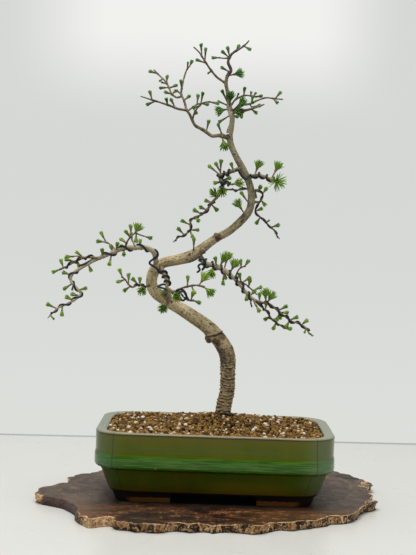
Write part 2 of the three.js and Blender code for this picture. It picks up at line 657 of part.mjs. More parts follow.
/** A square of plastic netting that keeps the soil in over a drain hole. */
function meshPadGeometry(side) {
  let pad = meshPadBlock(side, 0);
  const first = -(MESH_CELLS - 1) / 2;
  for (let row = 0; row < MESH_CELLS; row += 1) {
    for (let column = 0; column < MESH_CELLS; column += 1) {
      const x = POT_CENTRE[0] + side * DRAIN_HOLE_OFFSET + (first + column) * MESH_CELL_PITCH;
      const y = POT_CENTRE[1] + (first + row) * MESH_CELL_PITCH;
      const half = MESH_CELL_SIZE / 2;
      pad = pad.subtract(block([x - half, y - half, POT_FLOOR_Z - CUT_MARGIN],
        [x + half, y + half, POT_FLOOR_Z + MESH_PAD_THICKNESS + CUT_MARGIN]));
    }
  }
  return bodyGeometry(pad);
}

// ---------------------------------------------------------------- soil

/** Height of the soil's surface: a low mound round the trunk. */
function soilHeight(x, y) {
  const distance = Math.hypot(x - TRUNK_LINE[2][0], y - TRUNK_LINE[2][1]);
  return RIM_Z - SOIL_BELOW_RIM + SOIL_MOUND_HEIGHT * Math.exp(-((distance / SOIL_MOUND_SPREAD) ** 2));
}

/** The soil fills the pot. Its top is a field of grains, each a high point among low ones. */
function soilGeometry() {
  const random = seeded(SOIL_SEED);
  const columns = Math.round((POT_HALF[0] * 2) / GRANULE_SPACING);
  const rows = Math.round((POT_HALF[1] * 2) / GRANULE_SPACING);
  const points = [];
  const faces = [];
  const index = (row, column) => row * (columns + 1) + column;
  const wander = () => (random() - 0.5) * GRANULE_WANDER;
  for (let row = 0; row <= rows; row += 1) {
    for (let column = 0; column <= columns; column += 1) {
      const x = POT_CENTRE[0] + (column / columns - 0.5) * POT_HALF[0] * 2 + wander();
      const y = POT_CENTRE[1] + (row / rows - 0.5) * POT_HALF[1] * 2 + wander();
      const side = (row + column) % 2 ? 0.5 : -0.5;
      points.push(new THREE.Vector3(x, y, soilHeight(x, y) + side * (0.5 + random()) * GRANULE_HEIGHT));
    }
  }
  for (let row = 0; row < rows; row += 1) {
    for (let column = 0; column < columns; column += 1) {
      const a = index(row, column);
      const b = index(row, column + 1);
      const c = index(row + 1, column + 1);
      const d = index(row + 1, column);
      faces.push(...((row + column) % 2 ? [[a, b, d], [b, c, d]] : [[a, b, c], [a, c, d]]));
    }
  }
  const rim = [];
  for (let column = 0; column < columns; column += 1) rim.push(index(0, column));
  for (let row = 0; row < rows; row += 1) rim.push(index(row, columns));
  for (let column = columns; column > 0; column -= 1) rim.push(index(rows, column));
  for (let row = rows; row > 0; row -= 1) rim.push(index(row, 0));
  const below = POT_FLOOR_Z - CUT_MARGIN;
  const skirt = rim.map((i) => points.push(new THREE.Vector3(points[i].x, points[i].y, below)) - 1);
  const under = points.push(new THREE.Vector3(...POT_CENTRE, below)) - 1;
  rim.forEach((top, i) => {
    const next = (i + 1) % rim.length;
    faces.push([skirt[i], skirt[next], rim[next]], [skirt[i], rim[next], top]);
    faces.push([under, skirt[next], skirt[i]]);
  });
  let soil = solid(meshGeometry(points, faces)).intersect(potLoft(potCavity(GAP)));
  soil = soil.subtract(trunkSolid(GAP));
  [-1, 1].forEach((side) => {
    soil = soil.subtract(meshPadBlock(side, GAP));
  });
  return bodyGeometry(soil);
}

// ---------------------------------------------------------------- trunk and branches

/** The trunk with its knots, grown all round by a clearance. */
function trunkSolid(clearance) {
  const curve = curveThrough(TRUNK_LINE);
  const steps = Math.round(curve.getLength() / TRUNK_STEP);
  const centres = [];
  const radii = [];
  for (let i = 0; i <= steps; i += 1) {
    const t = curve.getUtoTmapping(i / steps) * (TRUNK_LINE.length - 1);
    const row = Math.min(Math.floor(t), TRUNK_LINE.length - 2);
    const radius = THREE.MathUtils.lerp(TRUNK_LINE[row][3], TRUNK_LINE[row + 1][3], t - row);
    centres.push(curve.getPointAt(i / steps));
    radii.push(radius + clearance);
  }
  let trunk = solid(tube(centres, radii, TRUNK_SIDES));
  TRUNK_KNOTS.forEach(([x, y, z, radius]) => {
    const lump = new THREE.SphereGeometry(radius + clearance, KNOT_SIDES, KNOT_SIDES - 2);
    lump.translate(x, y, z);
    trunk = trunk.add(solid(lump));
  });
  return trunk;
}

/** A stem's curve, and its radius at a share of its length. */
function stemShape(stem) {
  const curve = curveThrough(stem.line);
  const [root, tip] = stem.width;
  const radiusAt = (share) => THREE.MathUtils.lerp(root, tip, share) / 2;
  return { curve, length: curve.getLength(), radiusAt };
}

/** A stem's wood, tapered from root to tip. */
function stemSolid(stem) {
  const { curve, length, radiusAt } = stemShape(stem);
  const steps = Math.max(2, Math.round(length / BRANCH_STEP));
  const shares = Array.from({ length: steps + 1 }, (_, i) => i / steps);
  const centres = shares.map((share) => curve.getPointAt(share));
  return solid(tube(centres, shares.map(radiusAt), stem.sides ?? BRANCH_SIDES));
}

const NEAREST_SAMPLES = 200;

/** The share of a stem's length that lies nearest to a point. */
function nearestShare(curve, point) {
  const samples = curve.getSpacedPoints(NEAREST_SAMPLES);
  const distances = samples.map((sample) => sample.distanceTo(point));
  return distances.indexOf(Math.min(...distances)) / NEAREST_SAMPLES;
}

/**
 * A tuft: a spur with a flared top of flat faces, each drawn out into a three-sided needle. All
 * the needles point away from one place on the spur, so no two of them cross.
 */
function tuftGeometry(root, head, kind, stemRadius, random) {
  const { sides, cap, spread, needle } = TUFTS[kind];
  const axis = head.clone().sub(root).normalize();
  const neck = Math.max(head.distanceTo(root) - needle * 0.5 - SPUR_FLARE, stemRadius + 0.5);
  const reach = neck + SPUR_FLARE;
  const across = new THREE.Vector3(axis.z, axis.x, axis.y).cross(axis).normalize();
  const up = axis.clone().cross(across);
  const start = random() * Math.PI;
  const points = [];
  const addRing = (height, radius, turn) => {
    for (let k = 0; k < sides; k += 1) {
      const angle = start + ((k + turn) / sides) * Math.PI * 2;
      points.push(root.clone().addScaledVector(axis, height)
        .addScaledVector(across, Math.cos(angle) * radius)
        .addScaledVector(up, Math.sin(angle) * radius));
    }
  };
  addRing(0, Math.min(SPUR_RADIUS, stemRadius * SPUR_ROOT_SHARE), 0.5);
  addRing(neck, SPUR_RADIUS, 0.5);
  addRing(reach, cap, 0);
  const tail = points.push(root.clone()) - 1;
  const top = points.push(root.clone().addScaledVector(axis, reach + SPUR_CROWN)) - 1;
  const aim = root.clone().addScaledVector(axis, neck + spread * SPUR_FLARE);
  const faces = [];
  const drawOut = (face, length) => {
    const shares = face.map(() => 1 + (random() - 0.5) * NEEDLE_JITTER * 4);
    const total = shares[0] + shares[1] + shares[2];
    const foot = new THREE.Vector3();
    face.forEach((corner, i) => foot.addScaledVector(points[corner], shares[i] / total));
    const away = foot.clone().sub(aim).normalize();
    const tip = points.push(foot.addScaledVector(away, length * (1 - random() * NEEDLE_JITTER))) - 1;
    face.forEach((corner, i) => faces.push([corner, face[(i + 1) % 3], tip]));
  };
  const finishFace = needle > 0 ? drawOut : (face) => faces.push(face);
  for (let k = 0; k < sides; k += 1) {
    const next = (k + 1) % sides;
    const low = sides + k;
    const lowNext = sides + next;
    const high = 2 * sides + k;
    const highNext = 2 * sides + next;
    faces.push([tail, next, k], [k, next, lowNext], [k, lowNext, low], [low, lowNext, highNext]);
    finishFace([low, highNext, high], needle * LOW_NEEDLE_SHARE);
    finishFace([high, highNext, top], needle);
  }
  return meshGeometry(points, faces);
}

/** The tufts along a stem, each rooted in it where its spur starts. */
function stemTufts(stem, random) {
  const { curve, length, radiusAt } = stemShape(stem);
  return Object.keys(TUFTS).flatMap((kind) => (stem[kind] ?? []).map(([x, y, z, slant]) => {
    const head = new THREE.Vector3(x, y, z);
    const share = THREE.MathUtils.clamp(nearestShare(curve, head) - slant / length, 0, 1);
    return solid(tuftGeometry(curve.getPointAt(share), head, kind, radiusAt(share), random));
  }));
}

/** A branch: all its stems and tufts joined in one solid. */
function branchSolid(stems, seed) {
  const random = seeded(seed);
  const parts = Object.values(stems).flatMap((stem) => [stemSolid(stem), ...stemTufts(stem, random)]);
  return wasm.Manifold.union(parts);
}

// ---------------------------------------------------------------- wires

/** Points of a coil round a stem, just clear of its bark. */
function coilPoints({ stem, from, to, turns, phase }, wireRadius) {
  const { curve, radiusAt } = stemShape(stem);
  const steps = Math.ceil(turns * WIRE_STEPS_PER_TURN);
  const points = [];
  const across = new THREE.Vector3(0, 1, 0);
  for (let i = 0; i <= steps; i += 1) {
    const share = THREE.MathUtils.lerp(from, to, i / steps);
    const along = curve.getTangentAt(share);
    across.addScaledVector(along, -across.dot(along)).normalize();
    const up = along.clone().cross(across);
    const angle = (phase + (i / steps) * turns) * Math.PI * 2;
    const standOff = radiusAt(share) + wireRadius + GAP + WIRE_SLACK;
    const radius = standOff / Math.cos(Math.PI / WIRE_STEPS_PER_TURN);
    points.push(curve.getPointAt(share)
      .addScaledVector(across, Math.cos(angle) * radius)
      .addScaledVector(up, Math.sin(angle) * radius));
  }
  return points;
}

/** A wire through all its coils and free points, grown by a clearance. */
function wireSolid({ radius, parts }, clearance) {
  const centres = parts.flatMap((part) => (part.stem ? coilPoints(part, radius) : part.points.map(vector)));
  return solid(tube(centres, centres.map(() => radius + clearance), WIRE_SIDES));
}

// ---------------------------------------------------------------- the assembled part

function finish(color, roughness, metalness = 0) {
  return new THREE.MeshStandardMaterial({ color, roughness, metalness });
}

const FINISHES = {
  slab: finish(0x73583f, 0.75),
  pot: finish(0x3f6a22, 0.2),
  netting: finish(0x2b2b2b, 0.6),
  soil: finish(0x7a5a35, 0.95),
  bark: finish(0x7d6b4c, 0.85),
  foliage: finish(0x5c7f2c, 0.6),
  wire: finish(0x1d2027, 0.35, 0.8),
};

const group = new THREE.Group();

function addPiece(name, geometry, material) {
  const mesh = new THREE.Mesh(geometry, material);
  mesh.name = name;
  group.add(mesh);
}

addPiece('slab', slabGeometry(), FINISHES.slab);
addPiece('pot', potGeometry(), FINISHES.pot);
addPiece('drain_mesh_left', meshPadGeometry(-1), FINISHES.netting);
addPiece('drain_mesh_right', meshPadGeometry(1), FINISHES.netting);
addPiece('soil', soilGeometry(), FINISHES.soil);
addPiece('trunk', bodyGeometry(trunkSolid(0)), FINISHES.bark);

const trunkRoom = trunkSolid(GAP);
const wireRooms = Object.values(WIRES).map((wire) => wireSolid(wire, GAP));
Object.entries(WIRES).forEach(([name, wire]) => {
  addPiece(name, bodyGeometry(wireSolid(wire, 0)), FINISHES.wire);
});
Object.entries(BRANCHES).forEach(([name, stems], i) => {
  let branch = branchSolid(stems, BRANCH_SEED + i).subtract(trunkRoom);
  wireRooms.forEach((room) => {
    branch = branch.subtract(room);
  });
  addPiece(name, bodyGeometry(branch), FINISHES.foliage);
});
Object.entries(TRUNK_SPRAYS).forEach(([name, { kind, root, head }], i) => {
  const random = seeded(SPRAY_SEED + i);
  const spray = solid(tuftGeometry(vector(root), vector(head), kind, TRUNK_SPRAY_ROOT_DEPTH, random));
  addPiece(name, bodyGeometry(spray.subtract(trunkRoom)), FINISHES.foliage);
});

export default group;
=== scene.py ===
"""A larch bonsai in a green glazed pot on a burl wood slab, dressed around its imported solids.

Sizes are in millimetres, +Z up, and become metres where a mesh is made. The front is -Y.
"""
from math import pi, radians

import bpy
import numpy as np
from mathutils import Matrix, Vector


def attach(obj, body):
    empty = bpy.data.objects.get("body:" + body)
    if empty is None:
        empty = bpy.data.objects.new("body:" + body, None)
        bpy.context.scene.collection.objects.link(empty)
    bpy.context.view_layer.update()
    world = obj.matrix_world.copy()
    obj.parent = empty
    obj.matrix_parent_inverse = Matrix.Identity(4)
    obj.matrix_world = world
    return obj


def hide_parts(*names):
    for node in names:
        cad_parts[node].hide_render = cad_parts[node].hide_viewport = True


MM = 0.001

# ---- Driving sizes

SLAB_THICKNESS = 12
SLAB_EDGE_UNDERCUT = 4
SLAB_EDGE_PUSH = 2.6                # the edge starts this far outside the outline, and its lumps cut in
SLAB_LUMPS = ((8, 1.5), (3.4, 0.8), (1.6, 0.4))  # size and height of the edge's lumps
SLAB_RINGS = 46
SLAB_POINTS_AROUND = 900
SLAB_EDGE_ROWS = 14

POT_CENTRE = (3.5, -4)
POT_HALF = (154.5, 109.5)
POT_HEIGHT = 92
POT_CORNER_CUT = 25
POT_CORNER_NARROWING = 0.25
POT_CREASE_ROUND = 24
POT_EDGE_ROUND = 1.5
POT_CREASE_POINTS = 10
POT_SIDE_POINTS = 16
FOOT_HEIGHT = 15
FOOT_WALL = 12
FOOT_GAP_HALF = (55, 34)
FOOT_INSETS = (28, 22.5)            # inset of a foot's outer face on the slab and under the body
FOOT_OVERLAP = 0.6                  # how far a foot reaches up into the body
FOOT_EDGE_ROUND = 1.1
FOOT_TURN_ROUND = 7
SHADE_INSET = 27                    # the slab is painted dark as shade this far in from the pot's widest wall
FLOOR_ABOVE_FOOT = 8
FLOOR_INSET = 80                    # where the floor's outer rings end and flat caps begin
INNER_TOP_INSET = 14
INNER_FLOOR_INSET = 27
RIM_FALL = 1.1                      # how far the rim's top falls towards the soil
GLAZE_CHIP = (-70.5, -113, 60)      # a small bare spot in the belt's glaze
DRAIN_HOLE_RADIUS = 11
DRAIN_HOLE_OFFSET = 62

SOIL_BELOW_RIM = 3.5
SOIL_MOUND_HEIGHT = 15
SOIL_MOUND_SPREAD = 62
SOIL_BANK = 3                       # how much higher the soil lies along the back
SOIL_UNDER_GRAINS = 3.2             # how far the fine soil lies below the soil's level
CLAY_GRAIN = 4.1                    # usual size of a baked clay grain
PUMICE_GRAIN = 4.8
GRAIN_PITCH = 4.15
PUMICE_SPACING = 5.2                # how many times wider apart the pumice lies than the clay
PUMICE_LIFT = 0.5
GRAINS_FROM_TRUNK = 11              # no grain lies closer to the trunk's centre

CURVE_SAMPLES = 24                  # points on each span of a curve before it is stepped evenly
BEND_SHARE = 0.45                   # the most of a side that a rounded corner takes up
TRUNK_STEP = 0.8
TRUNK_SIDES = 84
TRUNK_WRAP_RADIUS = 6               # the bark's noise is taken from a straight rod of this radius
ROOT_FLARE = (20, 9)                # where along the trunk it is widest, and how far that spreads
KNOT_BLEND = 3
STEM_STEP = 1.1
STEM_SIDES = 12
SPUR_SIDES = 9
SPUR_STEP = 0.7
WIRE_STEP = 1
WIRE_SIDES = 10
COIL_POINTS_PER_TURN = 12
WIRE_PRESS = 0.1                    # how deep a wire presses into the bark

GRAIN_SEEDS = (41, 42)
BRANCH_SEED = 100
BRANCH_SEED_STEP = 10
SPRAY_SEED = 300

POT_BASE_Z = SLAB_THICKNESS
RIM_Z = POT_BASE_Z + POT_HEIGHT
POT_UNDERSIDE_Z = POT_BASE_Z + FOOT_HEIGHT
POT_FLOOR_Z = POT_UNDERSIDE_Z + FLOOR_ABOVE_FOOT

# Needle tufts: how many needles, their length and width, how far the outer ones lean from the
# tuft's axis, how much they curve outwards, and the radius that they spring from.
TUFTS = {
    "bud": {"count": 12, "length": 3.4, "width": 1.1, "lean": radians(12), "curve": 0.03, "foot": 1.0},
    "tight": {"count": 26, "length": 6.5, "width": 1.2, "lean": radians(10), "curve": 0.05, "foot": 1.25},
    "brush": {"count": 30, "length": 7.4, "width": 1.1, "lean": radians(13), "curve": 0.06, "foot": 1.3},
    "fan": {"count": 36, "length": 11.9, "width": 1.6, "lean": radians(33), "curve": 0.1, "foot": 1.7},
    "star": {"count": 36, "length": 14.4, "width": 1.8, "lean": radians(92), "curve": 0.05, "foot": 1.6},
}
SPUR_RADIUS = 1.15
SPUR_CUP_LIP = 0.35                 # how far a spur is wider at its cup than the needles' feet
SPUR_RING_PITCH = 1.3
SHORTEST_SPUR = 2.2                 # the least that a spur stands out from its stem
TRUNK_SPRAY_ROOT_DEPTH = 4          # how deep in the trunk a spray's root point lies
NEEDLE_SHARES = np.array([0, 0.3, 0.7, 0.94])
NEEDLE_WIDTHS = np.array([0.75, 1, 0.95, 0.6])
NEEDLE_POINTS = 17                  # four rings of four and the tip
GOLDEN_ANGLE = pi * (3 - 5**0.5)

# The bare trunk from the soil to the crown: centre and radius.
TRUNK_LINE = [
    [13, 6, 87, 10.5], [13, 6, 103, 10.8], [13, 6, 116, 10.4], [15, 5, 133, 9.5], [18, 4, 149, 9.4],
    [18, 2, 173, 9.4], [16, 0, 196, 10.2], [9, -2, 211, 10.2], [-8, -5, 230, 9.6], [-31, -8, 246, 8.7],
    [-51, -11, 258, 8.1], [-70, -14, 269, 8.1], [-83, -16, 279, 7.5], [-87, -19, 292, 7.1],
    [-83, -21, 307, 7.4], [-73, -20, 316, 6.8], [-53, -18, 321, 6.9], [-35, -16, 327, 7.6],
    [-21, -12, 338, 6.2], [-5, -9, 350, 5.2], [13, -5, 361, 4.9], [30, -1, 377, 4.9], [39, 2, 390, 4.7],
    [41, 2, 406, 4.7], [38, 0, 423, 4.6], [29, -3, 442, 4.6], [19, -7, 459, 4.2], [11, -10, 476, 4],
    [9, -11, 489, 3.9],
]

# Old pruning scars and knots on the trunk: centre and radius of each lump.
TRUNK_KNOTS = [
    [-8, -13, 219, 6.5], [6, -7, 221, 6.5], [-66, -20, 275, 6], [-21, -17, 334, 4.2], [-4, -12, 355, 3.3],
]


def stem(width, line, **tufts):
    """A leafy stem: its diameters at root and tip, its centre line, and its tufts by kind.

    Each tuft is the centre of its head and how far down the stem its spur starts.
    """
    return {"width": width, "line": line, **tufts}


CROWN = {
    "leader": stem((7.8, 1.8), [(9, -11, 489.4), (12, -13, 508), (8, -14, 522), (5, -15, 541),
        (2, -14, 556), (4, -13, 565), (8, -13, 572), (4, -12, 582), (6, -10, 590), (11, -9, 596),
        (19, -8, 601), (27, -6, 608), (31, -5, 613)],
        tight=[(-3, -7, 596, 2), (3, -14, 600, 5), (17, -6, 604, 7), (31, -10, 601, 2),
        (-3, -18, 574, 10), (-2, -19, 543, 20), (-4, -20, 504, -12), (17, -8, 512, -2)],
        bud=[(-7, -11, 531, 8)],
        fan=[(20, -18, 568, 8), (8, -26, 537, 15), (25, -26, 530, 11), (-6, -19, 518, 0),
        (21, -22, 517, -2)]),
    "topStub": stem((2.2, 1.6), [(5, -10, 588), (-3, -7, 588), (-9, -4, 589)], tight=[(-15, -2, 589, 1)]),
    "topLeft": stem((3.4, 1.9), [(1, -13, 555), (-10, -16, 562), (-17, -19, 569), (-24, -22, 578),
        (-29, -24, 585), (-34, -26, 592), (-42, -29, 599)],
        tight=[(-32, -22, 602, 9), (-26, -26, 596, 11), (-36, -19, 583, 9)], bud=[(-21, -17, 567, 0)]),
    "rightUpper": stem((3.2, 1.8), [(8, -14, 523), (15, -8, 534), (21, -3, 538), (28, 1, 541),
        (37, 6, 541), (45, 11, 540)],
        tight=[(49, 13, 542, 4), (27, -3, 549, 1)],
        bud=[(19, -5, 542, 6), (36, 7, 546, 1), (42, 5, 545, 0)]),
    "rightLong": stem((3, 1.7), [(11, -15, 519), (19, -11, 523), (27, -7, 528), (35, -2, 530),
        (44, 5, 535), (56, 14, 540), (67, 21, 540), (80, 29, 540)],
        tight=[(75, 25, 548, 7), (71, 16, 535, 2), (38, 2, 539, 7), (39, -2, 532, -6)]),
    "rightLongFork": stem((1.9, 1.6), [(34, -2, 530), (38, 2, 526), (43, 5, 528)],
        tight=[(47, 2, 528, 4)]),
    "rightShort": stem((4.6, 1.8), [(11, -14, 516), (22, -20, 518), (32, -25, 520), (42, -30, 523),
        (53, -35, 527)],
        tight=[(42, -24, 517, 3), (24, -25, 511, -1)]),
}

UPPER_LEFT = {
    "main": stem((5.8, 3.2), [(9, -11, 483), (-3, -15, 486), (-14, -18, 485), (-22, -21, 490),
        (-30, -24, 494), (-36, -26, 497), (-41, -29, 505), (-44, -31, 511), (-49, -33, 517)],
        tight=[(-19, -17, 503, 2), (-6, -19, 499, 5)], fan=[(3, -21, 472, -6)]),
    "shelf": stem((2.6, 1.6), [(-40, -28, 504), (-38, -33, 512), (-33, -39, 520), (-25, -44, 526),
        (-12, -51, 526)],
        tight=[(-9, -48, 525, 8), (-38, -35, 520, -7)]),
    "shelfBack": stem((2.6, 1.6), [(-47, -32, 515), (-41, -27, 520), (-35, -22, 525), (-28, -17, 527)],
        tight=[(-34, -18, 536, 6), (-28, -20, 539, 2), (-36, -29, 514, -3), (-22, -15, 526, 1)]),
    "upright": stem((3.2, 1.8), [(-48, -33, 516), (-52, -26, 529), (-56, -19, 538), (-55, -12, 551),
        (-53, -7, 562), (-50, -2, 572), (-46, 1, 578)],
        tight=[(-44, 3, 583, 1), (-57, -18, 554, 5), (-46, -21, 535, 4)],
        bud=[(-49, -4, 581, 6), (-61, -16, 542, 5)]),
    "uprightFork": stem((3, 1.6), [(-55, -20, 535), (-62, -14, 534), (-69, -9, 539), (-73, -3, 548),
        (-78, 2, 556), (-86, 10, 564), (-95, 17, 573)],
        tight=[(-64, -7, 550, -2), (-64, -4, 543, 6), (-83, 0, 547, 6), (-76, -14, 540, 2),
        (-76, 4, 562, 7), (-98, 9, 569, 5)], bud=[(-82, -3, 554, 2), (-85, 4, 557, -1)]),
    "sweep": stem((3.4, 1.6), [(-48, -33, 516), (-59, -38, 517), (-69, -45, 520), (-81, -51, 523),
        (-94, -59, 526), (-107, -67, 529)],
        tight=[(-68, -37, 528, 4), (-74, -51, 527, 4), (-95, -55, 535, 2), (-97, -59, 520, 9)]),
}

RIGHT_MID = {
    "main": stem((4.8, 3.8), [(35, 0, 429), (43, -8, 435), (53, -18, 435), (61, -25, 432),
        (70, -33, 429)],
        fan=[(49, -5, 451, 2), (74, -24, 449, -1)], star=[(74, -38, 427, 1)]),
}

LEFT_MID = {
    "main": stem((5.2, 1.6), [(25, -7, 444), (17, -8, 441), (8, -7, 437), (-2, -10, 433), (1, -13, 424),
        (2, -14, 415), (-3, -11, 407), (-11, -7, 398), (-16, -2, 390), (-24, 4, 382), (-36, 11, 376),
        (-39, 14, 370), (-39, 19, 360), (-47, 24, 354), (-56, 29, 349), (-62, 33, 343)],
        brush=[(-15, -6, 445, 0), (-7, -14, 448, 2), (-1, -4, 452, -6), (10, -17, 430, 2),
        (13, -4, 449, 0), (-7, -8, 424, -3), (-18, -2, 400, 3), (-5, -10, 389, 0), (-25, -4, 391, 1),
        (-33, 8, 387, 8), (-29, 4, 374, -4), (-49, 18, 372, -2), (-54, 21, 361, 1), (-30, 22, 361, 0),
        (-36, 13, 353, 0)], fan=[(2, -21, 414, 3), (-8, -16, 409, -3)]),
    "spur": stem((2.8, 2.2), [(0, -13, 426), (6, -21, 424), (13, -28, 422), (19, -34, 423)],
        fan=[(23, -36, 424, 6)]),
    "backDrop": stem((2.6, 1.5), [(1, -13, 415), (12, -1, 416), (23, 11, 416), (34, 20, 418),
        (46, 25, 417), (57, 29, 412), (56, 31, 405), (50, 33, 398), (48, 35, 390), (54, 38, 382),
        (63, 40, 374), (72, 43, 367), (77, 45, 360), (83, 47, 352)],
        brush=[(53, 22, 421, 0), (61, 32, 419, 0), (47, 30, 409, 3), (46, 28, 401, 4), (60, 35, 399, 1),
        (55, 32, 392, -6), (51, 42, 374, 2), (79, 39, 371, 2)], bud=[(67, 42, 377, 2), (80, 48, 355, 6)]),
}

LEFT_LOW = {
    "main": stem((7.6, 1.6), [(-81, -19, 306), (-82, -27, 321), (-86, -33, 331), (-95, -34, 336),
        (-108, -36, 335), (-120, -37, 335), (-131, -38, 331), (-144, -40, 325), (-156, -42, 320),
        (-168, -43, 313), (-179, -47, 306), (-189, -51, 298), (-189, -54, 289), (-181, -57, 281),
        (-176, -59, 274), (-182, -62, 267), (-194, -66, 260), (-204, -70, 255), (-210, -72, 249),
        (-216, -75, 242)],
        brush=[(-103, -30, 344, -1), (-123, -43, 327, 2), (-132, -42, 339, -5), (-140, -35, 334, -1),
        (-151, -45, 330, -2), (-141, -46, 314, 8), (-197, -51, 280, -1), (-186, -59, 273, 6),
        (-184, -55, 267, 4), (-192, -66, 269, 5), (-171, -61, 281, 3), (-199, -47, 300, 0),
        (-216, -67, 259, 3), (-198, -71, 248, 6), (-166, -38, 305, 0)],
        bud=[(-188, -49, 279, 1), (-127, -33, 338, 5), (-208, -77, 242, 1)]),
    "fork": stem((3.6, 2), [(-156, -44, 320), (-167, -42, 321), (-175, -39, 320), (-186, -34, 315),
        (-198, -28, 308), (-210, -23, 302)],
        brush=[(-215, -21, 300, 4), (-184, -35, 326, 7), (-197, -38, 317, 6), (-182, -31, 310, 2),
        (-206, -23, 314, 0)]),
    "forkTwig": stem((2, 1.6), [(-175, -39, 320), (-183, -46, 322), (-191, -51, 321)],
        brush=[(-195, -53, 321, 3)]),
    "riser": stem((2.6, 1.8), [(-133, -40, 330), (-141, -34, 338), (-150, -29, 342)],
        brush=[(-154, -28, 352, 3), (-157, -34, 342, 2)]),
    "topTwig": stem((2.8, 2), [(-122, -38, 335), (-119, -46, 343), (-114, -51, 350), (-108, -55, 355)],
        brush=[(-115, -48, 362, 4), (-120, -54, 355, 3), (-126, -42, 345, 0)], fan=[(-105, -57, 362, 1)]),
    "topTwigTip": stem((2, 1.6), [(-109, -55, 355), (-101, -59, 352), (-93, -65, 350)],
        brush=[(-89, -67, 349, 5), (-107, -61, 345, 5)]),
    "thinTwig": stem((1.9, 1.6), [(-109, -38, 336), (-113, -32, 344), (-115, -30, 347)],
        brush=[(-115, -29, 352, 3)]),
}

LEFT_SMALL = {
    "main": stem((3, 1.8), [(-87, -22, 287), (-95, -29, 285), (-103, -34, 287), (-111, -40, 284),
        (-116, -44, 288), (-120, -49, 294), (-125, -53, 298)],
        brush=[(-128, -51, 291, 6), (-116, -39, 299, 5), (-110, -38, 294, 4), (-102, -29, 294, 0),
        (-120, -38, 280, 0), (-127, -49, 305, 2)], fan=[(-98, -38, 280, 2)]),
}

HOOK = {
    "main": stem((6, 4), [(-76, -24, 312), (-69, -36, 300), (-65, -43, 291), (-66, -45, 286),
        (-60, -47, 281), (-53, -49, 280)],
        fan=[(-53, -56, 275, 3)], brush=[(-69, -40, 279, -3)]),
    "upper": stem((3, 2.1), [(-54, -49, 280), (-47, -51, 285), (-38, -54, 288), (-27, -58, 290),
        (-16, -61, 288)],
        fan=[(-17, -55, 301, 3), (-9, -65, 282, 2)], brush=[(-39, -50, 299, 1), (-30, -62, 281, 4)]),
    "lower": stem((2.6, 2), [(-54, -49, 280), (-47, -46, 278), (-44, -44, 274), (-39, -42, 270),
        (-29, -38, 269)],
        brush=[(-32, -39, 278, 2), (-24, -37, 267, 2)]),
}

RIGHT_LOW = {
    "main": stem((7.4, 3.4), [(-27, -8, 330), (-17, -16, 318), (-6, -20, 315), (6, -24, 310),
        (16, -27, 304), (25, -29, 296), (33, -31, 287), (41, -33, 278), (52, -35, 270)],
        fan=[(8, -20, 326, 0), (22, -21, 319, -3), (-9, -29, 305, 3), (12, -23, 329, -4)],
        brush=[(-4, -28, 324, -3), (7, -30, 293, 10), (10, -19, 300, 4), (38, -38, 274, 4),
        (48, -28, 283, 0)]),
    "droop": stem((3, 1.6), [(51, -35, 271), (61, -37, 269), (70, -39, 267), (79, -42, 260),
        (87, -45, 254), (96, -48, 248), (107, -51, 244), (114, -53, 241), (121, -57, 231)],
        brush=[(55, -32, 279, -2), (89, -39, 265, 3), (90, -50, 258, 8), (79, -40, 249, 2),
        (103, -45, 252, 5), (91, -51, 241, 1), (116, -48, 248, 2)],
        fan=[(62, -44, 283, -3), (71, -33, 279, 2)], bud=[(114, -58, 234, 4), (124, -54, 230, 3)]),
    "inner": stem((2.8, 1.8), [(49, -33, 272), (55, -29, 266), (65, -22, 258), (73, -18, 247),
        (83, -14, 240), (92, -11, 234)],
        brush=[(65, -19, 267, -1), (65, -15, 247, 1), (83, -16, 249, 7), (97, -13, 235, 3),
        (76, -19, 236, 0)]),
    "shelf": stem((2.2, 1.6), [(26, -30, 296), (35, -26, 293), (43, -20, 287), (53, -13, 278)],
        brush=[(28, -34, 304, -5), (41, -24, 300, 5), (42, -25, 296, -4), (56, -14, 288, 5)]),
    "riser": stem((2.4, 1.9), [(22, -29, 299), (28, -38, 313), (36, -43, 317)],
        brush=[(38, -45, 322, 2), (29, -35, 322, 0)]),
    "stub": stem((2.4, 2), [(47, -34, 274), (49, -39, 268), (52, -43, 264)], brush=[(54, -45, 260, 2)]),
}

BRANCHES = {
    "crown": CROWN,
    "branch_upper_left": UPPER_LEFT,
    "branch_right_mid": RIGHT_MID,
    "branch_left_mid": LEFT_MID,
    "branch_left_low": LEFT_LOW,
    "branch_left_small": LEFT_SMALL,
    "branch_hook": HOOK,
    "branch_right_low": RIGHT_LOW,
}

# Sprays that spring straight from the trunk: root on the trunk, head, and kind.
TRUNK_SPRAYS = {
    "spray_upper": ((33, -4, 384), (23, -9, 398), "fan"),
    "spray_bend": ((40, -2, 396), (28, -7, 411), "brush"),
    "spray_middle": ((-33, -19, 333), (-33, -26, 348), "brush"),
    "spray_front": ((-63, -19, 265), (-70, -32, 257), "fan"),
    "spray_knot": ((-75, -21, 273), (-68, -29, 280), "brush"),
}

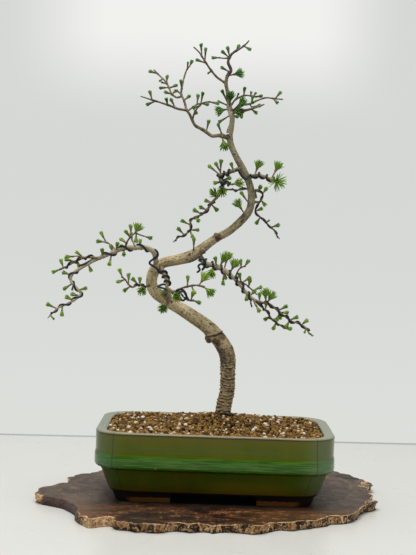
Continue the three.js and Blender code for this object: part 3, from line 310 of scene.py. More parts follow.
# Training wires: the radius of each, and its runs. A run is a list of free points, or a coil round a
# stem: the shares of the stem (0 = root, 1 = tip) that it starts and ends at, its turns, and where
# round the stem it starts, in turns.
WIRES = {
    "wire_left_hook": (1.4, [
        [(-37, -44, 270), (-40, -49, 275), (-44, -52, 281), (-49, -52, 280), (-49, -48, 273),
         (-44, -44, 269), (-40, -46, 275), (-45, -50, 283), (-52, -53, 283), (-55, -50, 277)],
        [(-62, -46, 281), (-70, -46, 284), (-77, -42, 286), (-71, -40, 289)],
        (HOOK["main"], 0.62, 0.15, 3, 0.1),
        [(-77, -30, 304), (-80, -31, 309), (-90, -31, 316)],
        (LEFT_LOW["main"], 0.1, 0.45, 3.5, 0.63),
    ]),
    "wire_left_low": (1.2, [
        (LEFT_LOW["fork"], 0.85, 0.1, 3, 0),
        (LEFT_LOW["main"], 0.55, 0.97, 5, 0.65),
    ]),
    "wire_right_low": (1.4, [
        [(-28, -26, 305), (-24, -28, 309), (-26, -30, 314), (-22, -31, 317), (-18, -29, 313),
         (-21, -26, 309), (-17, -27, 316), (-20, -31, 323), (-25, -27, 322)],
        (RIGHT_LOW["main"], 0.1, 0.93, 7, 0.94),
        (RIGHT_LOW["droop"], 0.08, 0.95, 4.5, 0.86),
    ]),
    "wire_right_inner": (1, [
        [(46, -30, 262), (44, -31, 270), (47, -34, 274)],
        (RIGHT_LOW["inner"], 0.24, 0.95, 3, 0.4),
    ]),
    "wire_mid": (1.4, [
        (LEFT_MID["spur"], 0.7, 0.15, 2, 0.24),
        (LEFT_MID["main"], 0.34, 0.08, 5.5, 0.5),
        [(22, -12, 441), (26, -12, 435), (32, -11, 430)],
        (RIGHT_MID["main"], 0.2, 0.95, 3, 0.3),
    ]),
    "wire_left_mid": (1, [(LEFT_MID["main"], 0.42, 0.98, 5, 0.2)]),
    "wire_back": (1, [(LEFT_MID["backDrop"], 0.12, 0.95, 5, 0.36)]),
    "wire_left_small": (1, [(LEFT_SMALL["main"], 0.15, 0.5, 2, 0.06)]),
}

# The slab's wavy outline, anticlockwise from the left tip, seen from above.
SLAB_OUTLINE = [
    [-229, -51], [-226, -58], [-220, -64], [-213, -68], [-205, -74], [-196, -81], [-188, -89],
    [-182, -100], [-175, -114], [-170, -128], [-168, -151], [-161, -171], [-153, -186],
    [-146, -196], [-138, -193], [-131, -187], [-121, -183], [-116, -195], [-109, -202], [-98, -203],
    [-88, -211], [-80, -208], [-74, -212], [-66, -212], [-58, -210], [-49, -202], [-40, -198],
    [-32, -200], [-24, -204], [-15, -200], [-5, -198], [3, -204], [13, -197], [27, -194],
    [40, -198], [51, -202], [64, -194], [76, -181], [85, -173], [100, -175], [109, -167],
    [122, -159], [133, -148], [146, -139], [151, -129], [166, -124], [175, -115], [182, -103],
    [188, -91], [192, -71], [199, -54], [205, -43], [214, -34], [221, -20], [218, -9], [219, 15],
    [220, 55], [220, 91], [225, 94], [229, 101], [229, 115], [226, 125], [224, 136], [219, 142],
    [213, 146], [213, 160], [212, 171], [205, 182], [193, 189], [190, 203], [181, 209], [158, 212],
    [132, 206], [104, 211], [70, 204], [40, 212], [4, 206], [-34, 209], [-70, 199], [-104, 185],
    [-132, 166], [-148, 152], [-158, 141], [-173, 127], [-178, 113], [-188, 98], [-190, 84],
    [-198, 76], [-197, 55], [-194, 36], [-202, 31], [-208, 24], [-216, 11], [-226, 3], [-228, -9],
    [-227, -30],
]

# The pot's outside from the foot line up: inset from the widest wall, and height over the rim.
POT_PROFILE = [
    (24, -77), (20, -79), (18.6, -77.6), (17, -74.6), (15.2, -70.2), (13.2, -64.6), (10.6, -57), (8, -50.5),
    (5.8, -48), (1.6, -46), (-0.2, -43.5), (-0.2, -32), (0.9, -26), (1, -5.2), (0.9, -3.4), (0.8, -2),
    (1.6, -0.6), (3.2, 0),
]

# Dark scars on the bark: place and radius.
TRUNK_SCARS = [
    [-70, -24, 276, 5], [-7, -15, 238.5, 3.6], [-38, -23, 329, 3.6], [-3, -15, 349, 4.5],
    [6, -15, 484, 4], [-9.5, -19, 216.5, 3.8], [8.5, -12, 225.5, 3.6], [-84, -20, 301, 3],
    [30, -6, 375, 2.6], [12, -4, 181, 3], [22, -4, 206, 3.5], [-60, -19, 265, 2.5], [16, -14, 462, 2.6],
    [-35, -20, 254, 3.2], [-43, -20, 249, 2.6],
]

# Dark stains, softer than the scars: place and radius.
TRUNK_STAINS = [
    [-69, -25, 276, 7], [-64, -23, 266, 6], [12, -9, 190, 14], [6, -10, 200, 11], [22, 0, 183, 10],
    [2, -12, 212, 7], [0, -14, 352, 9], [13, -2, 112, 11], [31, -4, 382, 8], [-40, -16, 329, 9],
    [-52, -18, 320, 7],
]
# A folded seam across the trunk's bend: its ends as x and z, its depth and width, and its raised lip.
BEND_SEAM = {"from": (-13, 220), "to": (10, 226), "depth": 1.1, "width": 1.3, "lip": 1.2}
WRINKLED_BELOW = 203                # the bark is folded into rings up to here
WRINKLE_PITCH = 4.5
WRINKLE_DEPTH = 1.8
CROTCH_KNOT = (6, -17, 516, 8)      # pale knotty wood where the crown forks: place and radius


# ---- Curves, noise and surfaces

def unit(vectors):
    """Vectors scaled to length one."""
    return vectors / np.linalg.norm(vectors, axis=-1, keepdims=True)


def smooth_path(points, step):
    """A centripetal Catmull-Rom curve through rows of x, y, z and any further values.

    Each span is a cubic whose slopes come from divided differences over the square roots of the
    spans' lengths. The curve is then sampled again at even distances along it.
    """
    points = np.asarray(points, float)
    padded = np.vstack([2 * points[0] - points[1], points, 2 * points[-1] - points[-2]])
    knots = np.sqrt(np.linalg.norm(np.diff(padded[:, :3], axis=0), axis=1))[:, None]
    p0, p1, p2, p3 = padded[:-3], padded[1:-2], padded[2:-1], padded[3:]
    k0, k1, k2 = knots[:-2], knots[1:-1], knots[2:]
    start = ((p1 - p0) / k0 - (p2 - p0) / (k0 + k1) + (p2 - p1) / k1) * k1
    end = ((p2 - p1) / k1 - (p3 - p1) / (k1 + k2) + (p3 - p2) / k2) * k1
    share = np.linspace(0, 1, CURVE_SAMPLES, endpoint=False)[:, None, None]
    spans = p1 + start * share + (3 * (p2 - p1) - 2 * start - end) * share**2
    spans = spans + (2 * (p1 - p2) + start + end) * share**3
    dense = np.vstack([spans.swapaxes(0, 1).reshape(-1, points.shape[1]), points[-1]])
    length = np.append(0, np.cumsum(np.linalg.norm(np.diff(dense[:, :3], axis=0), axis=1)))
    even = np.linspace(0, length[-1], max(3, round(length[-1] / step) + 1))
    return np.stack([np.interp(even, length, column) for column in dense.T], 1)


def lattice_value(cell, seed):
    """A repeatable random number from -1 to 1 for each whole-number cell of space."""
    mixed = cell[..., 0] * 73856093 ^ cell[..., 1] * 19349663 ^ cell[..., 2] * 83492791
    mixed = (mixed ^ seed * 40503 ^ mixed >> 13) & 0xFFFFFFFF
    mixed = (mixed * 1274126177) & 0xFFFFFFFF
    return ((mixed ^ mixed >> 15) & 0xFFFF) / 32767.5 - 1


def noise(points, size, seed=0):
    """Smooth noise from -1 to 1: random values on a cubic lattice, blended between its corners."""
    place = np.asarray(points, float) / size
    cell = np.floor(place).astype(np.int64)
    share = place - cell
    share = share * share * (3 - 2 * share)
    total = 0
    for corner in np.ndindex(2, 2, 2):
        weight = np.prod(np.where(np.array(corner, bool), share, 1 - share), axis=-1)
        total = total + weight * lattice_value(cell + np.array(corner), seed)
    return total


def smoothstep(low, high, values):
    """Rises from 0 at low to 1 at high, flat at both ends."""
    share = np.clip((values - low) / (high - low), 0, 1)
    return share * share * (3 - 2 * share)


def fade(distance, reach, core):
    """1 up to a core share of the reach, then falling smoothly to 0 at the reach."""
    return 1 - smoothstep(core * reach, reach, distance)


def rounded(corners, soft, steps, closed=False):
    """A line whose corners are replaced by short parabolas that start and end soft away from them."""
    corners = np.asarray(corners, float)
    ends = []
    for turn in (1, -1):
        side = np.roll(corners, turn, axis=0) - corners
        reach = np.minimum(soft, np.linalg.norm(side, axis=1, keepdims=True) * BEND_SHARE)
        ends.append((corners + unit(side) * reach)[:, None])
    share = np.linspace(0, 1, steps)[None, :, None]
    bends = ends[0] * (1 - share) ** 2 + corners[:, None] * 2 * share * (1 - share) + ends[1] * share**2
    if closed:
        return bends
    return np.vstack([corners[0], bends[1:-1].reshape(-1, corners.shape[1]), corners[-1]])


def grid_faces(rows, columns):
    """Four-sided faces of a grid of points whose last column joins the first."""
    row, column = np.mgrid[0:rows - 1, 0:columns]
    near_one = row * columns + column
    next_one = row * columns + (column + 1) % columns
    return np.stack([near_one, next_one, next_one + columns, near_one + columns], -1).reshape(-1, 4)


def fan_faces(ring, centre):
    """Triangles from a ring of point numbers to one centre, facing the side it runs round leftwards."""
    return np.stack([ring, np.roll(ring, -1), np.full(len(ring), centre)], 1)


def loft(rings):
    """A closed surface through rings (n, m, 3) that run anticlockwise seen from the last one's side."""
    count, sides = rings.shape[:2]
    points = np.vstack([rings.reshape(-1, 3), rings[0].mean(0), rings[-1].mean(0)])
    first = np.arange(sides)
    centre = count * sides
    faces = [grid_faces(count, sides), fan_faces(first[::-1], centre)]
    return points, [*faces, fan_faces(first + centre - sides, centre + 1)]


def tube_rings(path, radius, sides):
    """Rings round a path, then the directions out to their points and the even angles of those.

    A point is the centre plus radius, (n,) or (n, sides), times cos(angle) x across + sin(angle) x up.
    Across and up are square to the path, and across keeps to the direction that it turns to least.
    """
    along = unit(np.gradient(path, axis=0))
    steady = np.linalg.svd(along, full_matrices=False)[2][-1]
    across = unit(steady - along * (along @ steady)[:, None])
    angle = np.arange(sides) * 2 * pi / sides
    out = np.cos(angle)[:, None] * across[:, None] + np.sin(angle)[:, None] * np.cross(along, across)[:, None]
    radius = np.broadcast_to(np.reshape(radius, (len(path), -1)), (len(path), sides))
    return path[:, None] + out * radius[..., None], out, angle


def domed(distance, length, radius):
    """Shares of the full radius that round off a tube's far end like half a ball."""
    left = np.clip((length - distance) / radius, 0, 1)
    return np.sqrt(np.clip(1 - (1 - left) ** 2, 0.02, 1))


def placed(name, data):
    """A new object in the scene."""
    thing = bpy.data.objects.new(name, data)
    bpy.context.scene.collection.objects.link(thing)
    return thing


def bare_object(name, points, faces):
    """A plain object of points in metres, for a cutting shape or the stage."""
    mesh = bpy.data.meshes.new(name)
    mesh.from_pydata(points, [], faces)
    return placed(name, mesh)


class Surface:
    """Collects the meshes that make one piece, with the values that its finish reads at each point."""

    def __init__(self):
        self.points, self.faces, self.values, self.count = [], [], [], 0

    def add(self, points, faces, **values):
        """Adds points (n, 3), arrays of faces numbered from their own first point, and named values.

        Gives back the surface, as add_rings does.
        """
        self.points.append(points)
        self.faces += [part + self.count for part in faces]
        self.values.append(values)
        self.count += len(points)
        return self

    def add_rings(self, rings, **values):
        """Adds a loft of rings. A value is one number, or one for each ring, each side or each point."""
        for key, value in values.items():
            value = np.broadcast_to(value, (*rings.shape[:2], *np.shape(value)[2:]))
            values[key] = np.concatenate([value.reshape(-1, *value.shape[2:]), value[[0, -1]].mean(1)])
        return self.add(*loft(rings), **values)

    def make(self, name, finish, slot, node=None):
        """The finished object: a smooth mesh in metres that rides on the root.

        It replaces the node, or the one that has the slot's name.
        """
        mesh = bpy.data.meshes.new(name)
        corners = np.concatenate([part.ravel() for part in self.faces])
        sizes = np.concatenate([np.full(len(part), part.shape[1]) for part in self.faces])
        mesh.vertices.add(self.count)
        mesh.vertices.foreach_set("co", (np.concatenate(self.points) * MM).ravel())
        mesh.loops.add(len(corners))
        mesh.loops.foreach_set("vertex_index", corners.astype(np.int32))
        mesh.polygons.add(len(sizes))
        mesh.polygons.foreach_set("loop_start", (np.cumsum(sizes) - sizes).astype(np.int32))
        mesh.polygons.foreach_set("use_smooth", np.ones(len(sizes), bool))
        for key in self.values[0]:
            values = np.concatenate([part[key] for part in self.values]).astype(np.float32)
            kind, field = ("FLOAT_VECTOR", "vector") if values.ndim == 2 else ("FLOAT", "value")
            mesh.attributes.new(key, kind, "POINT").data.foreach_set(field, values.ravel())
        mesh.update(calc_edges=True)
        mesh.materials.append(finish)
        piece = placed(name, mesh)
        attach(piece, "root")
        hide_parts(node or slot)
        return piece


# ---- Shader nodes

def shade(red, green, blue):
    """A colour in 0 to 255 display values, as the linear values that shaders use."""
    share = np.array([red, green, blue]) / 255
    linear = np.where(share <= 0.04045, share / 12.92, ((share + 0.055) / 1.055) ** 2.4)
    return (*linear.tolist(), 1.0)


class Value:
    """A shader socket that adds its own Math nodes when it is used in a sum."""

    def __init__(self, finish, socket):
        self.finish = finish
        self.socket = socket

    def math(self, operation, *values):
        return self.finish.node("ShaderNodeMath", {"operation": operation}, dict(enumerate(values)))

    def __add__(self, other):
        return self.math("ADD", self, other)

    def __sub__(self, other):
        return self.math("SUBTRACT", self, other)

    def __rsub__(self, other):
        return self.math("SUBTRACT", other, self)

    def __mul__(self, other):
        return self.math("MULTIPLY", self, other)

    __radd__ = __add__
    __rmul__ = __mul__

    def step(self, low, high):
        """Rises smoothly from 0 where the value is low to 1 where it is high."""
        settings = {"interpolation_type": "SMOOTHSTEP"}
        ends = {"Value": self, "From Min": low, "From Max": high}
        return self.finish.node("ShaderNodeMapRange", settings, ends)


class Nodes:
    """A tree of shader nodes, written as expressions on their values.

    A colour is a value, or a red, green and blue in 0 to 255 display values.
    """

    def __init__(self, owner):
        owner.use_nodes = True
        self.tree = owner.node_tree
        self.tree.nodes.clear()

    def node(self, kind, settings, inputs, output=0):
        """Adds a node: its settings first, then the values or links of its sockets, unless they are None."""
        node = self.tree.nodes.new(kind)
        for key, value in settings.items():
            setattr(node, key, value)
        for key, value in inputs.items():
            if isinstance(value, Value):
                self.tree.links.new(value.socket, node.inputs[key])
            elif value is not None:
                node.inputs[key].default_value = value
        return None if output is None else Value(self, node.outputs[output])

    def part(self, vector, axis):
        """The X, Y or Z of a vector."""
        return self.node("ShaderNodeSeparateXYZ", {}, {0: vector}, axis)

    def mix(self, share, *colours):
        """A colour between two others: the first where the share is 0."""
        first, second = [shade(*colour) if isinstance(colour, tuple) else colour for colour in colours]
        return self.node("ShaderNodeMix", {"data_type": "RGBA"}, {"Factor": share, 6: first, 7: second}, 2)

    def paint(self, colour, *layers):
        """A colour with layers over it, each the share that it covers and its own colour."""
        for share, layer in layers:
            colour = self.mix(share, colour, layer)
        return colour


class Finish(Nodes):
    """A procedural material. Its place is the point's place on the object in metres."""

    def __init__(self, name):
        self.material = bpy.data.materials.new(name)
        super().__init__(self.material)
        self.place = self.node("ShaderNodeTexCoord", {}, {}, "Object")

    def axis(self, name):
        """How far along an axis the point lies, in metres."""
        return self.part(self.place, name)

    def lean(self, axis):
        """How far the surface faces along an axis, from -1 to 1."""
        return self.part(self.node("ShaderNodeNewGeometry", {}, {}, "Normal"), axis)

    def away(self, spot):
        """Distance in metres from a spot given in millimetres."""
        inputs = {0: self.place, 1: [axis * MM for axis in spot]}
        return self.node("ShaderNodeVectorMath", {"operation": "DISTANCE"}, inputs, "Value")

    def value(self, name, output="Fac"):
        """A value stored on the mesh: its Fac is a number and its Vector a vector."""
        return self.node("ShaderNodeAttribute", {"attribute_name": name}, {}, output)

    def noise(self, size, detail=3, rough=0.5, twist=0, squeeze=None, on=None):
        """Noise from 0 to 1 whose patches are about size millimetres across.

        Squeeze multiplies x, y and z first, so that a small share draws the patches out that way.
        """
        vector = on or self.place
        if squeeze:
            vector = self.node("ShaderNodeVectorMath", {"operation": "MULTIPLY"}, {0: vector, 1: squeeze})
        inputs = {"Vector": vector, "Scale": 1 / (size * MM), "Detail": detail, "Roughness": rough}
        return self.node("ShaderNodeTexNoise", {}, {**inputs, "Distortion": twist})

    def bump(self, height, depth, below=None):
        """A normal from a height of 0 to 1 that stands for depth millimetres."""
        inputs = {"Height": height, "Distance": depth * MM, "Strength": 1, "Normal": below}
        return self.node("ShaderNodeBump", {}, inputs)

    def done(self, colour, rough, normal=None, gloss=0.5, metal=0):
        """Joins colour, roughness and normal in the surface; gloss is how strongly it reflects."""
        inputs = {"Base Color": colour, "Roughness": rough, "Normal": normal}
        inputs.update({"Specular IOR Level": gloss, "Metallic": metal})
        surface = self.node("ShaderNodeBsdfPrincipled", {}, inputs)
        self.node("ShaderNodeOutputMaterial", {}, {"Surface": surface}, None)
        return self.material


# ---- Slab

SLAB_HUB = np.array([0, 55])        # every point of the outline can be seen from here
SLAB_TIP = (-225, -57, 11)          # a sawn branch end: place on the outline and reach
SLAB_DARK_SIDE = (-190, -108, 76)   # smooth dark bark instead of mottled wood
SLAB_KNOB = (-194, 64, 17)
SLAB_CLEFT = (203, 158, 27)
SLAB_LOBE = (-141, -192, 25)        # pale wood under a rounded lip
SLAB_FRONT = (-62, -120)            # the top grows darker and redder from the first y to the second
SLAB_BURRS = ((222, 98, 30), (219, -32, 22))  # mottled like the edge on top too


def near(points, spot):
    """1 at a spot on the slab's outline, falling to 0 at its reach."""
    return fade(np.hypot(points[..., 0] - spot[0], points[..., 1] - spot[1]), spot[2], 0.6)


def slab_outline():
    """The slab's closed outline at even steps, and the unit normals that point out of it."""
    corners = np.array(SLAB_OUTLINE, float)
    looped = np.vstack([corners[-3:], corners, corners[:3]])
    path = smooth_path(np.column_stack([looped, np.zeros(len(looped))]), 0.4)[:, :2]
    half = len(path) // 2
    away = np.linalg.norm(path - corners[0], axis=1)
    path = path[np.argmin(away[:half]):half + np.argmin(away[half:])]
    outline = path[np.linspace(0, len(path), SLAB_POINTS_AROUND, endpoint=False).astype(int)]
    outline = np.clip(outline, corners.min(0), corners.max(0))
    tangent = unit(np.roll(outline, -1, axis=0) - np.roll(outline, 1, axis=0))
    return outline, np.stack([tangent[:, 1], -tangent[:, 0]], 1)


def build_slab(finish):
    """Wall rings pushed in from the outline by undercut and lumps, then rings shrinking to a hub.

    The top is level but for fine pits and hollows. Each point holds how far inland it lies, or below
    0 its depth under the top, and how much it belongs to the sawn wood, the dark smooth bark, the
    cleft, the red front and the painted shade under the pot.
    """
    outline, outward = slab_outline()
    heights = SLAB_THICKNESS * np.linspace(0, 1, SLAB_EDGE_ROWS)[:, None] ** 0.85
    wall = np.stack(np.broadcast_arrays(*outline.T, heights), -1)
    share = heights / SLAB_THICKNESS
    dark, tip, lobe = [near(outline, spot) for spot in (SLAB_DARK_SIDE, SLAB_TIP, SLAB_LOBE)]
    calm = np.maximum(tip, 0.55 * dark)
    lumps = sum(height * (1 + noise(wall, size, seed + 1)) for seed, (size, height) in enumerate(SLAB_LUMPS))
    window = smoothstep(0, 0.2, share) * (1 - 0.72 * smoothstep(0.7, 1, share))
    inset = SLAB_EDGE_UNDERCUT * (1 - share) ** 1.6 + lumps * window * (1 - calm)
    slope = np.clip(2.4 + 4 * noise(wall[:1] * (1, 1, 0), 15, 6), 0, 7)
    inset += (slope * (1 - dark) + 7 * dark + 5 * lobe) * (1 - tip) * share**1.8
    inset += tip * 5 * (2 * share - 1) ** 2 - SLAB_EDGE_PUSH * (1 - tip)
    dip = np.clip(3.2 * noise(wall[0] * (1, 1, 0), 21, 7), 0, 3.4) * (1 - dark) * (1 - tip) * (1 - lobe)
    wall[..., 2] -= dip * share**2
    wall[..., :2] = np.clip(wall[..., :2] - outward * inset[..., None], outline.min(0), outline.max(0))
    rim = wall[-1, :, :2]
    shares = 1 - np.append([0.004, 0.01], np.linspace(0.02, 0.985, SLAB_RINGS))[:, None, None]
    flat = SLAB_HUB + (rim - SLAB_HUB) * shares
    inland = np.linalg.norm(rim - SLAB_HUB, axis=1) * (1 - shares[..., 0])
    top = np.dstack([flat, np.full(flat.shape[:2], SLAB_THICKNESS)])
    pits = 0.5 + 0.5 * noise(top, 7, 4) + 0.5 * noise(top, 2.6, 5)
    top[..., 2] -= 0.3 * np.clip(pits, 0, 1) + 0.5 * np.exp(-inland / 0.8) * (1 - calm)
    top[..., 2] -= 3 * near(top, SLAB_CLEFT) * smoothstep(-0.2, 0.5, noise(top, 14, 6))
    top[..., 2] -= dip * np.exp(-inland / 6)
    wall[-1, :, 2] = top[0, :, 2] - 0.35
    hub = np.array([*SLAB_HUB, 0])
    under = [hub + (wall[:1] - hub) * shrink for shrink in (0.5, 0.985)]
    rings = np.concatenate([*under, wall, top])
    depth = np.broadcast_to(heights - SLAB_THICKNESS, wall.shape[:2])
    inland = inland - 16 * np.max([near(top, burr) for burr in SLAB_BURRS], axis=0)
    inland = np.concatenate([np.full((2, SLAB_POINTS_AROUND), -SLAB_THICKNESS), depth, inland])
    # where the slab's top is painted dark as the shade under the pot
    within = (np.array(POT_HALF) - SHADE_INSET - np.abs(rings[..., :2] - POT_CENTRE)).min(-1)
    x, y = rings[..., 0], rings[..., 1]
    front = smoothstep(*SLAB_FRONT, y) * smoothstep(-200, -130, x) * (0.75 + 0.25 * smoothstep(-60, 10, x))
    sawn = np.maximum(np.maximum(tip, 0.7 * lobe), near(rings, SLAB_KNOB))
    slab = Surface().add_rings(rings, inland=inland, dark=dark, sawn=sawn, cleft=near(rings, SLAB_CLEFT),
                               front=front, damp=smoothstep(-3, 6, within))
    slab.make("slab_burl", finish, "slab")


# ---- Pot

def pot_corner(inset):
    """Half the pot's length and depth and the cut of its corners, all drawn in by inset."""
    return (*(np.array(POT_HALF) - inset), POT_CORNER_CUT - inset * POT_CORNER_NARROWING)


def pot_ring(inset):
    """The pot's outline, drawn in by inset: eight rounded creases, with more points between them."""
    half_x, half_y, cut = pot_corner(inset)
    quarter = np.array([[half_x, half_y - cut], [half_x - cut, half_y]])
    corners = np.concatenate([quarter, quarter[::-1] * (-1, 1), -quarter, quarter[::-1] * (1, -1)])
    bends = rounded(corners, POT_CREASE_ROUND, POT_CREASE_POINTS, closed=True)
    share = np.linspace(0, 1, POT_SIDE_POINTS + 2)[1:-1, None]
    sides = bends[:, -1:] * (1 - share) + np.roll(bends[:, :1], -1, axis=0) * share
    return np.concatenate([bends, sides], 1).reshape(-1, 2) + POT_CENTRE


POT_OUTLINE = pot_ring(0)
POT_INWARD = pot_ring(1) - POT_OUTLINE


def pot_body():
    """The walls and floor: rounded rectangles that follow one profile up, over the rim and down inside.

    Every ring is the full outline moved in along one direction for each of its points. A slow
    noise bends the walls a little, as hands leave them. Glaze is 1 where the glaze covers the clay,
    and corner is 1 on the cut corners.
    """
    outside = [(inset, RIM_Z + over) for inset, over in POT_PROFILE]
    slope = (INNER_FLOOR_INSET - INNER_TOP_INSET) / (RIM_Z - POT_FLOOR_Z)
    inside = [(5, RIM_Z), (INNER_TOP_INSET - 1.4, RIM_Z - RIM_FALL)]
    inside += [(INNER_TOP_INSET + slope * share, RIM_Z - down) for share, down in ((2, 2.6), (14, 14))]
    inside += [(INNER_FLOOR_INSET, POT_FLOOR_Z), (FLOOR_INSET, POT_FLOOR_Z)]
    profile = rounded([(FLOOR_INSET, POT_UNDERSIDE_Z), *outside, *inside], POT_EDGE_ROUND, 6)
    flat = POT_OUTLINE + profile[:, None, :1] * POT_INWARD
    height = np.broadcast_to(profile[:, None, 1:], (*flat.shape[:2], 1))
    rings = np.concatenate([flat, height], -1)
    push = 0.55 * noise(rings, 70, 11) + 0.12 * noise(rings, 17, 12)
    rings[..., :2] += POT_INWARD * (push + 0.35)[..., None]
    uneven = 0.35 * noise(rings * (1, 1, 0), 55, 13) - 0.3
    rings[..., 2] += smoothstep(RIM_Z - 6, RIM_Z, rings[..., 2]) * uneven
    row = np.arange(len(profile))
    glazed_from = np.argmax(profile[:, 1] > POT_UNDERSIDE_Z + 0.9)
    glazed_to = len(profile) - np.argmax(profile[::-1, 1] > RIM_Z - 10)
    glaze = ((row >= glazed_from) & (row < glazed_to)).astype(float)
    way = np.abs(unit(np.roll(POT_OUTLINE, -1, axis=0) - np.roll(POT_OUTLINE, 1, axis=0))).min(1)
    return rings, {"glaze": glaze[:, None], "corner": smoothstep(0.1, 0.66, way)}


def pot_foot(sign_x, sign_y):
    """A foot: a rounded four-sided section carried round one corner, from gap to gap."""
    gap_x, gap_y = FOOT_GAP_HALF
    low, high = FOOT_INSETS
    roof = POT_UNDERSIDE_Z + FOOT_OVERLAP
    section = [(low + FOOT_WALL, POT_BASE_Z), (low + FOOT_WALL, roof), (high, roof), (low, POT_BASE_Z)]
    section = rounded(section, FOOT_EDGE_ROUND, 4, closed=True).reshape(-1, 2)
    lines = []
    for half_x, half_y, cut in map(pot_corner, section[:, 0]):
        turns = [(half_x, gap_y), (half_x, gap_y + 0.8), (half_x, half_y - cut), (half_x - cut, half_y),
                 (gap_x + 0.8, half_y), (gap_x, half_y)]
        lines.append(rounded(turns, FOOT_TURN_ROUND, 6))
    rings = np.stack(lines, 1)
    heights = np.broadcast_to(section[None, :, 1:], (*rings.shape[:2], 1))
    rings = np.concatenate([rings, heights], -1)
    middle = rings.mean(1)
    ends = [0, -1]
    rings[ends] = middle[ends][:, None] + (rings[ends] - middle[ends][:, None]) * (0.94, 0.94, 0.88)
    rings = rings * (sign_x, sign_y, 1) + (*POT_CENTRE, 0)
    return rings[::-1] if sign_x * sign_y < 0 else rings


def drill(body, side):
    """Cuts a drain hole through the pot's floor with a round bar."""
    x = POT_CENTRE[0] + side * DRAIN_HOLE_OFFSET
    path = np.array([[x, POT_CENTRE[1], z] for z in np.linspace(POT_UNDERSIDE_Z - 2, POT_FLOOR_Z + 2, 3)])
    points, faces = loft(tube_rings(path, np.full(3, DRAIN_HOLE_RADIUS), 40)[0])
    faces = [face for part in faces for face in part.tolist()]
    bar = bare_object("drain_cutter", (points * MM).tolist(), faces)
    cut = body.modifiers.new("drain", "BOOLEAN")
    cut.operation = "DIFFERENCE"
    cut.solver = "FAST"
    cut.object = bar
    bpy.context.view_layer.update()
    ready = body.evaluated_get(bpy.context.evaluated_depsgraph_get())
    carved = bpy.data.meshes.new_from_object(ready)
    body.modifiers.clear()
    body.data = carved
    bpy.data.objects.remove(bar)


def build_pot(finish):
    """The glazed body with two drain holes cut through its floor, and four feet under it."""
    rings, values = pot_body()
    body = Surface().add_rings(rings, **values).make("pot_body", finish, "pot")
    feet = Surface()
    for side in (-1, 1):
        drill(body, side)
        for sign_y in (-1, 1):
            rings = pot_foot(side, sign_y)
            along = np.abs(rings[..., 0] - POT_CENTRE[0]) - POT_HALF[0]
            feet.add_rings(rings, glaze=0, corner=smoothstep(-52, -42, along))
    feet.make("pot_feet", finish, "pot")


# ---- Soil

def soil_height(x, y):
    """Level of the soil: banked up at the back, with a low mound round the trunk.

    The mound's height is exp of minus the squared share of its spread.
    """
    distance = np.hypot(x - TRUNK_LINE[2][0], y - TRUNK_LINE[2][1]) / SOIL_MOUND_SPREAD
    banked = SOIL_BANK * smoothstep(20, 85, y - POT_CENTRE[1])
    return RIM_Z - SOIL_BELOW_RIM + banked + SOIL_MOUND_HEIGHT * np.exp(-distance**2)


def build_soil_bed(finish):
    """The fine soil between the grains: the pot's hollow up to just below their tops."""
    wall = np.array([(INNER_FLOOR_INSET + 0.4, POT_FLOOR_Z + 1.6), (INNER_TOP_INSET + 1.6, RIM_Z - 10)])
    sides = [np.column_stack([POT_OUTLINE + inset * POT_INWARD, np.full(len(POT_OUTLINE), z)])
             for inset, z in wall]
    rim = sides[-1][:, :2] - POT_CENTRE
    flat = rim * np.linspace(1, 0.01, 46)[:, None, None] + POT_CENTRE
    top = np.dstack([flat, soil_height(flat[..., 0], flat[..., 1]) - SOIL_UNDER_GRAINS])
    top[..., 2] += 0.9 * noise(top, 6, 21)
    Surface().add_rings(np.concatenate([np.array(sides), top])).make("soil_bed", finish, "soil")


def grain_shape():
    """A lump of 24 faces: the points of a cube's two-by-two grid, moved onto a ball."""
    steps = np.array([-1, 0, 1])
    grid = np.stack(np.meshgrid(steps, steps, steps, indexing="ij"), -1).reshape(-1, 3)
    shell = grid[np.abs(grid).max(1) == 1]
    number = {tuple(point): index for index, point in enumerate(shell.tolist())}
    faces = []
    for axis, side, i, j in np.ndindex(3, 2, 2, 2):
        square = np.zeros((4, 3), int)
        square[:, axis] = 2 * side - 1
        square[:, (axis + 1) % 3] = np.array([-1, 0, 0, -1]) + i
        square[:, (axis + 2) % 3] = np.array([-1, -1, 0, 0]) + j
        face = [number[tuple(point)] for point in square.tolist()]
        faces.append(face if side else face[::-1])
    return unit(shell.astype(float)), np.array(faces)


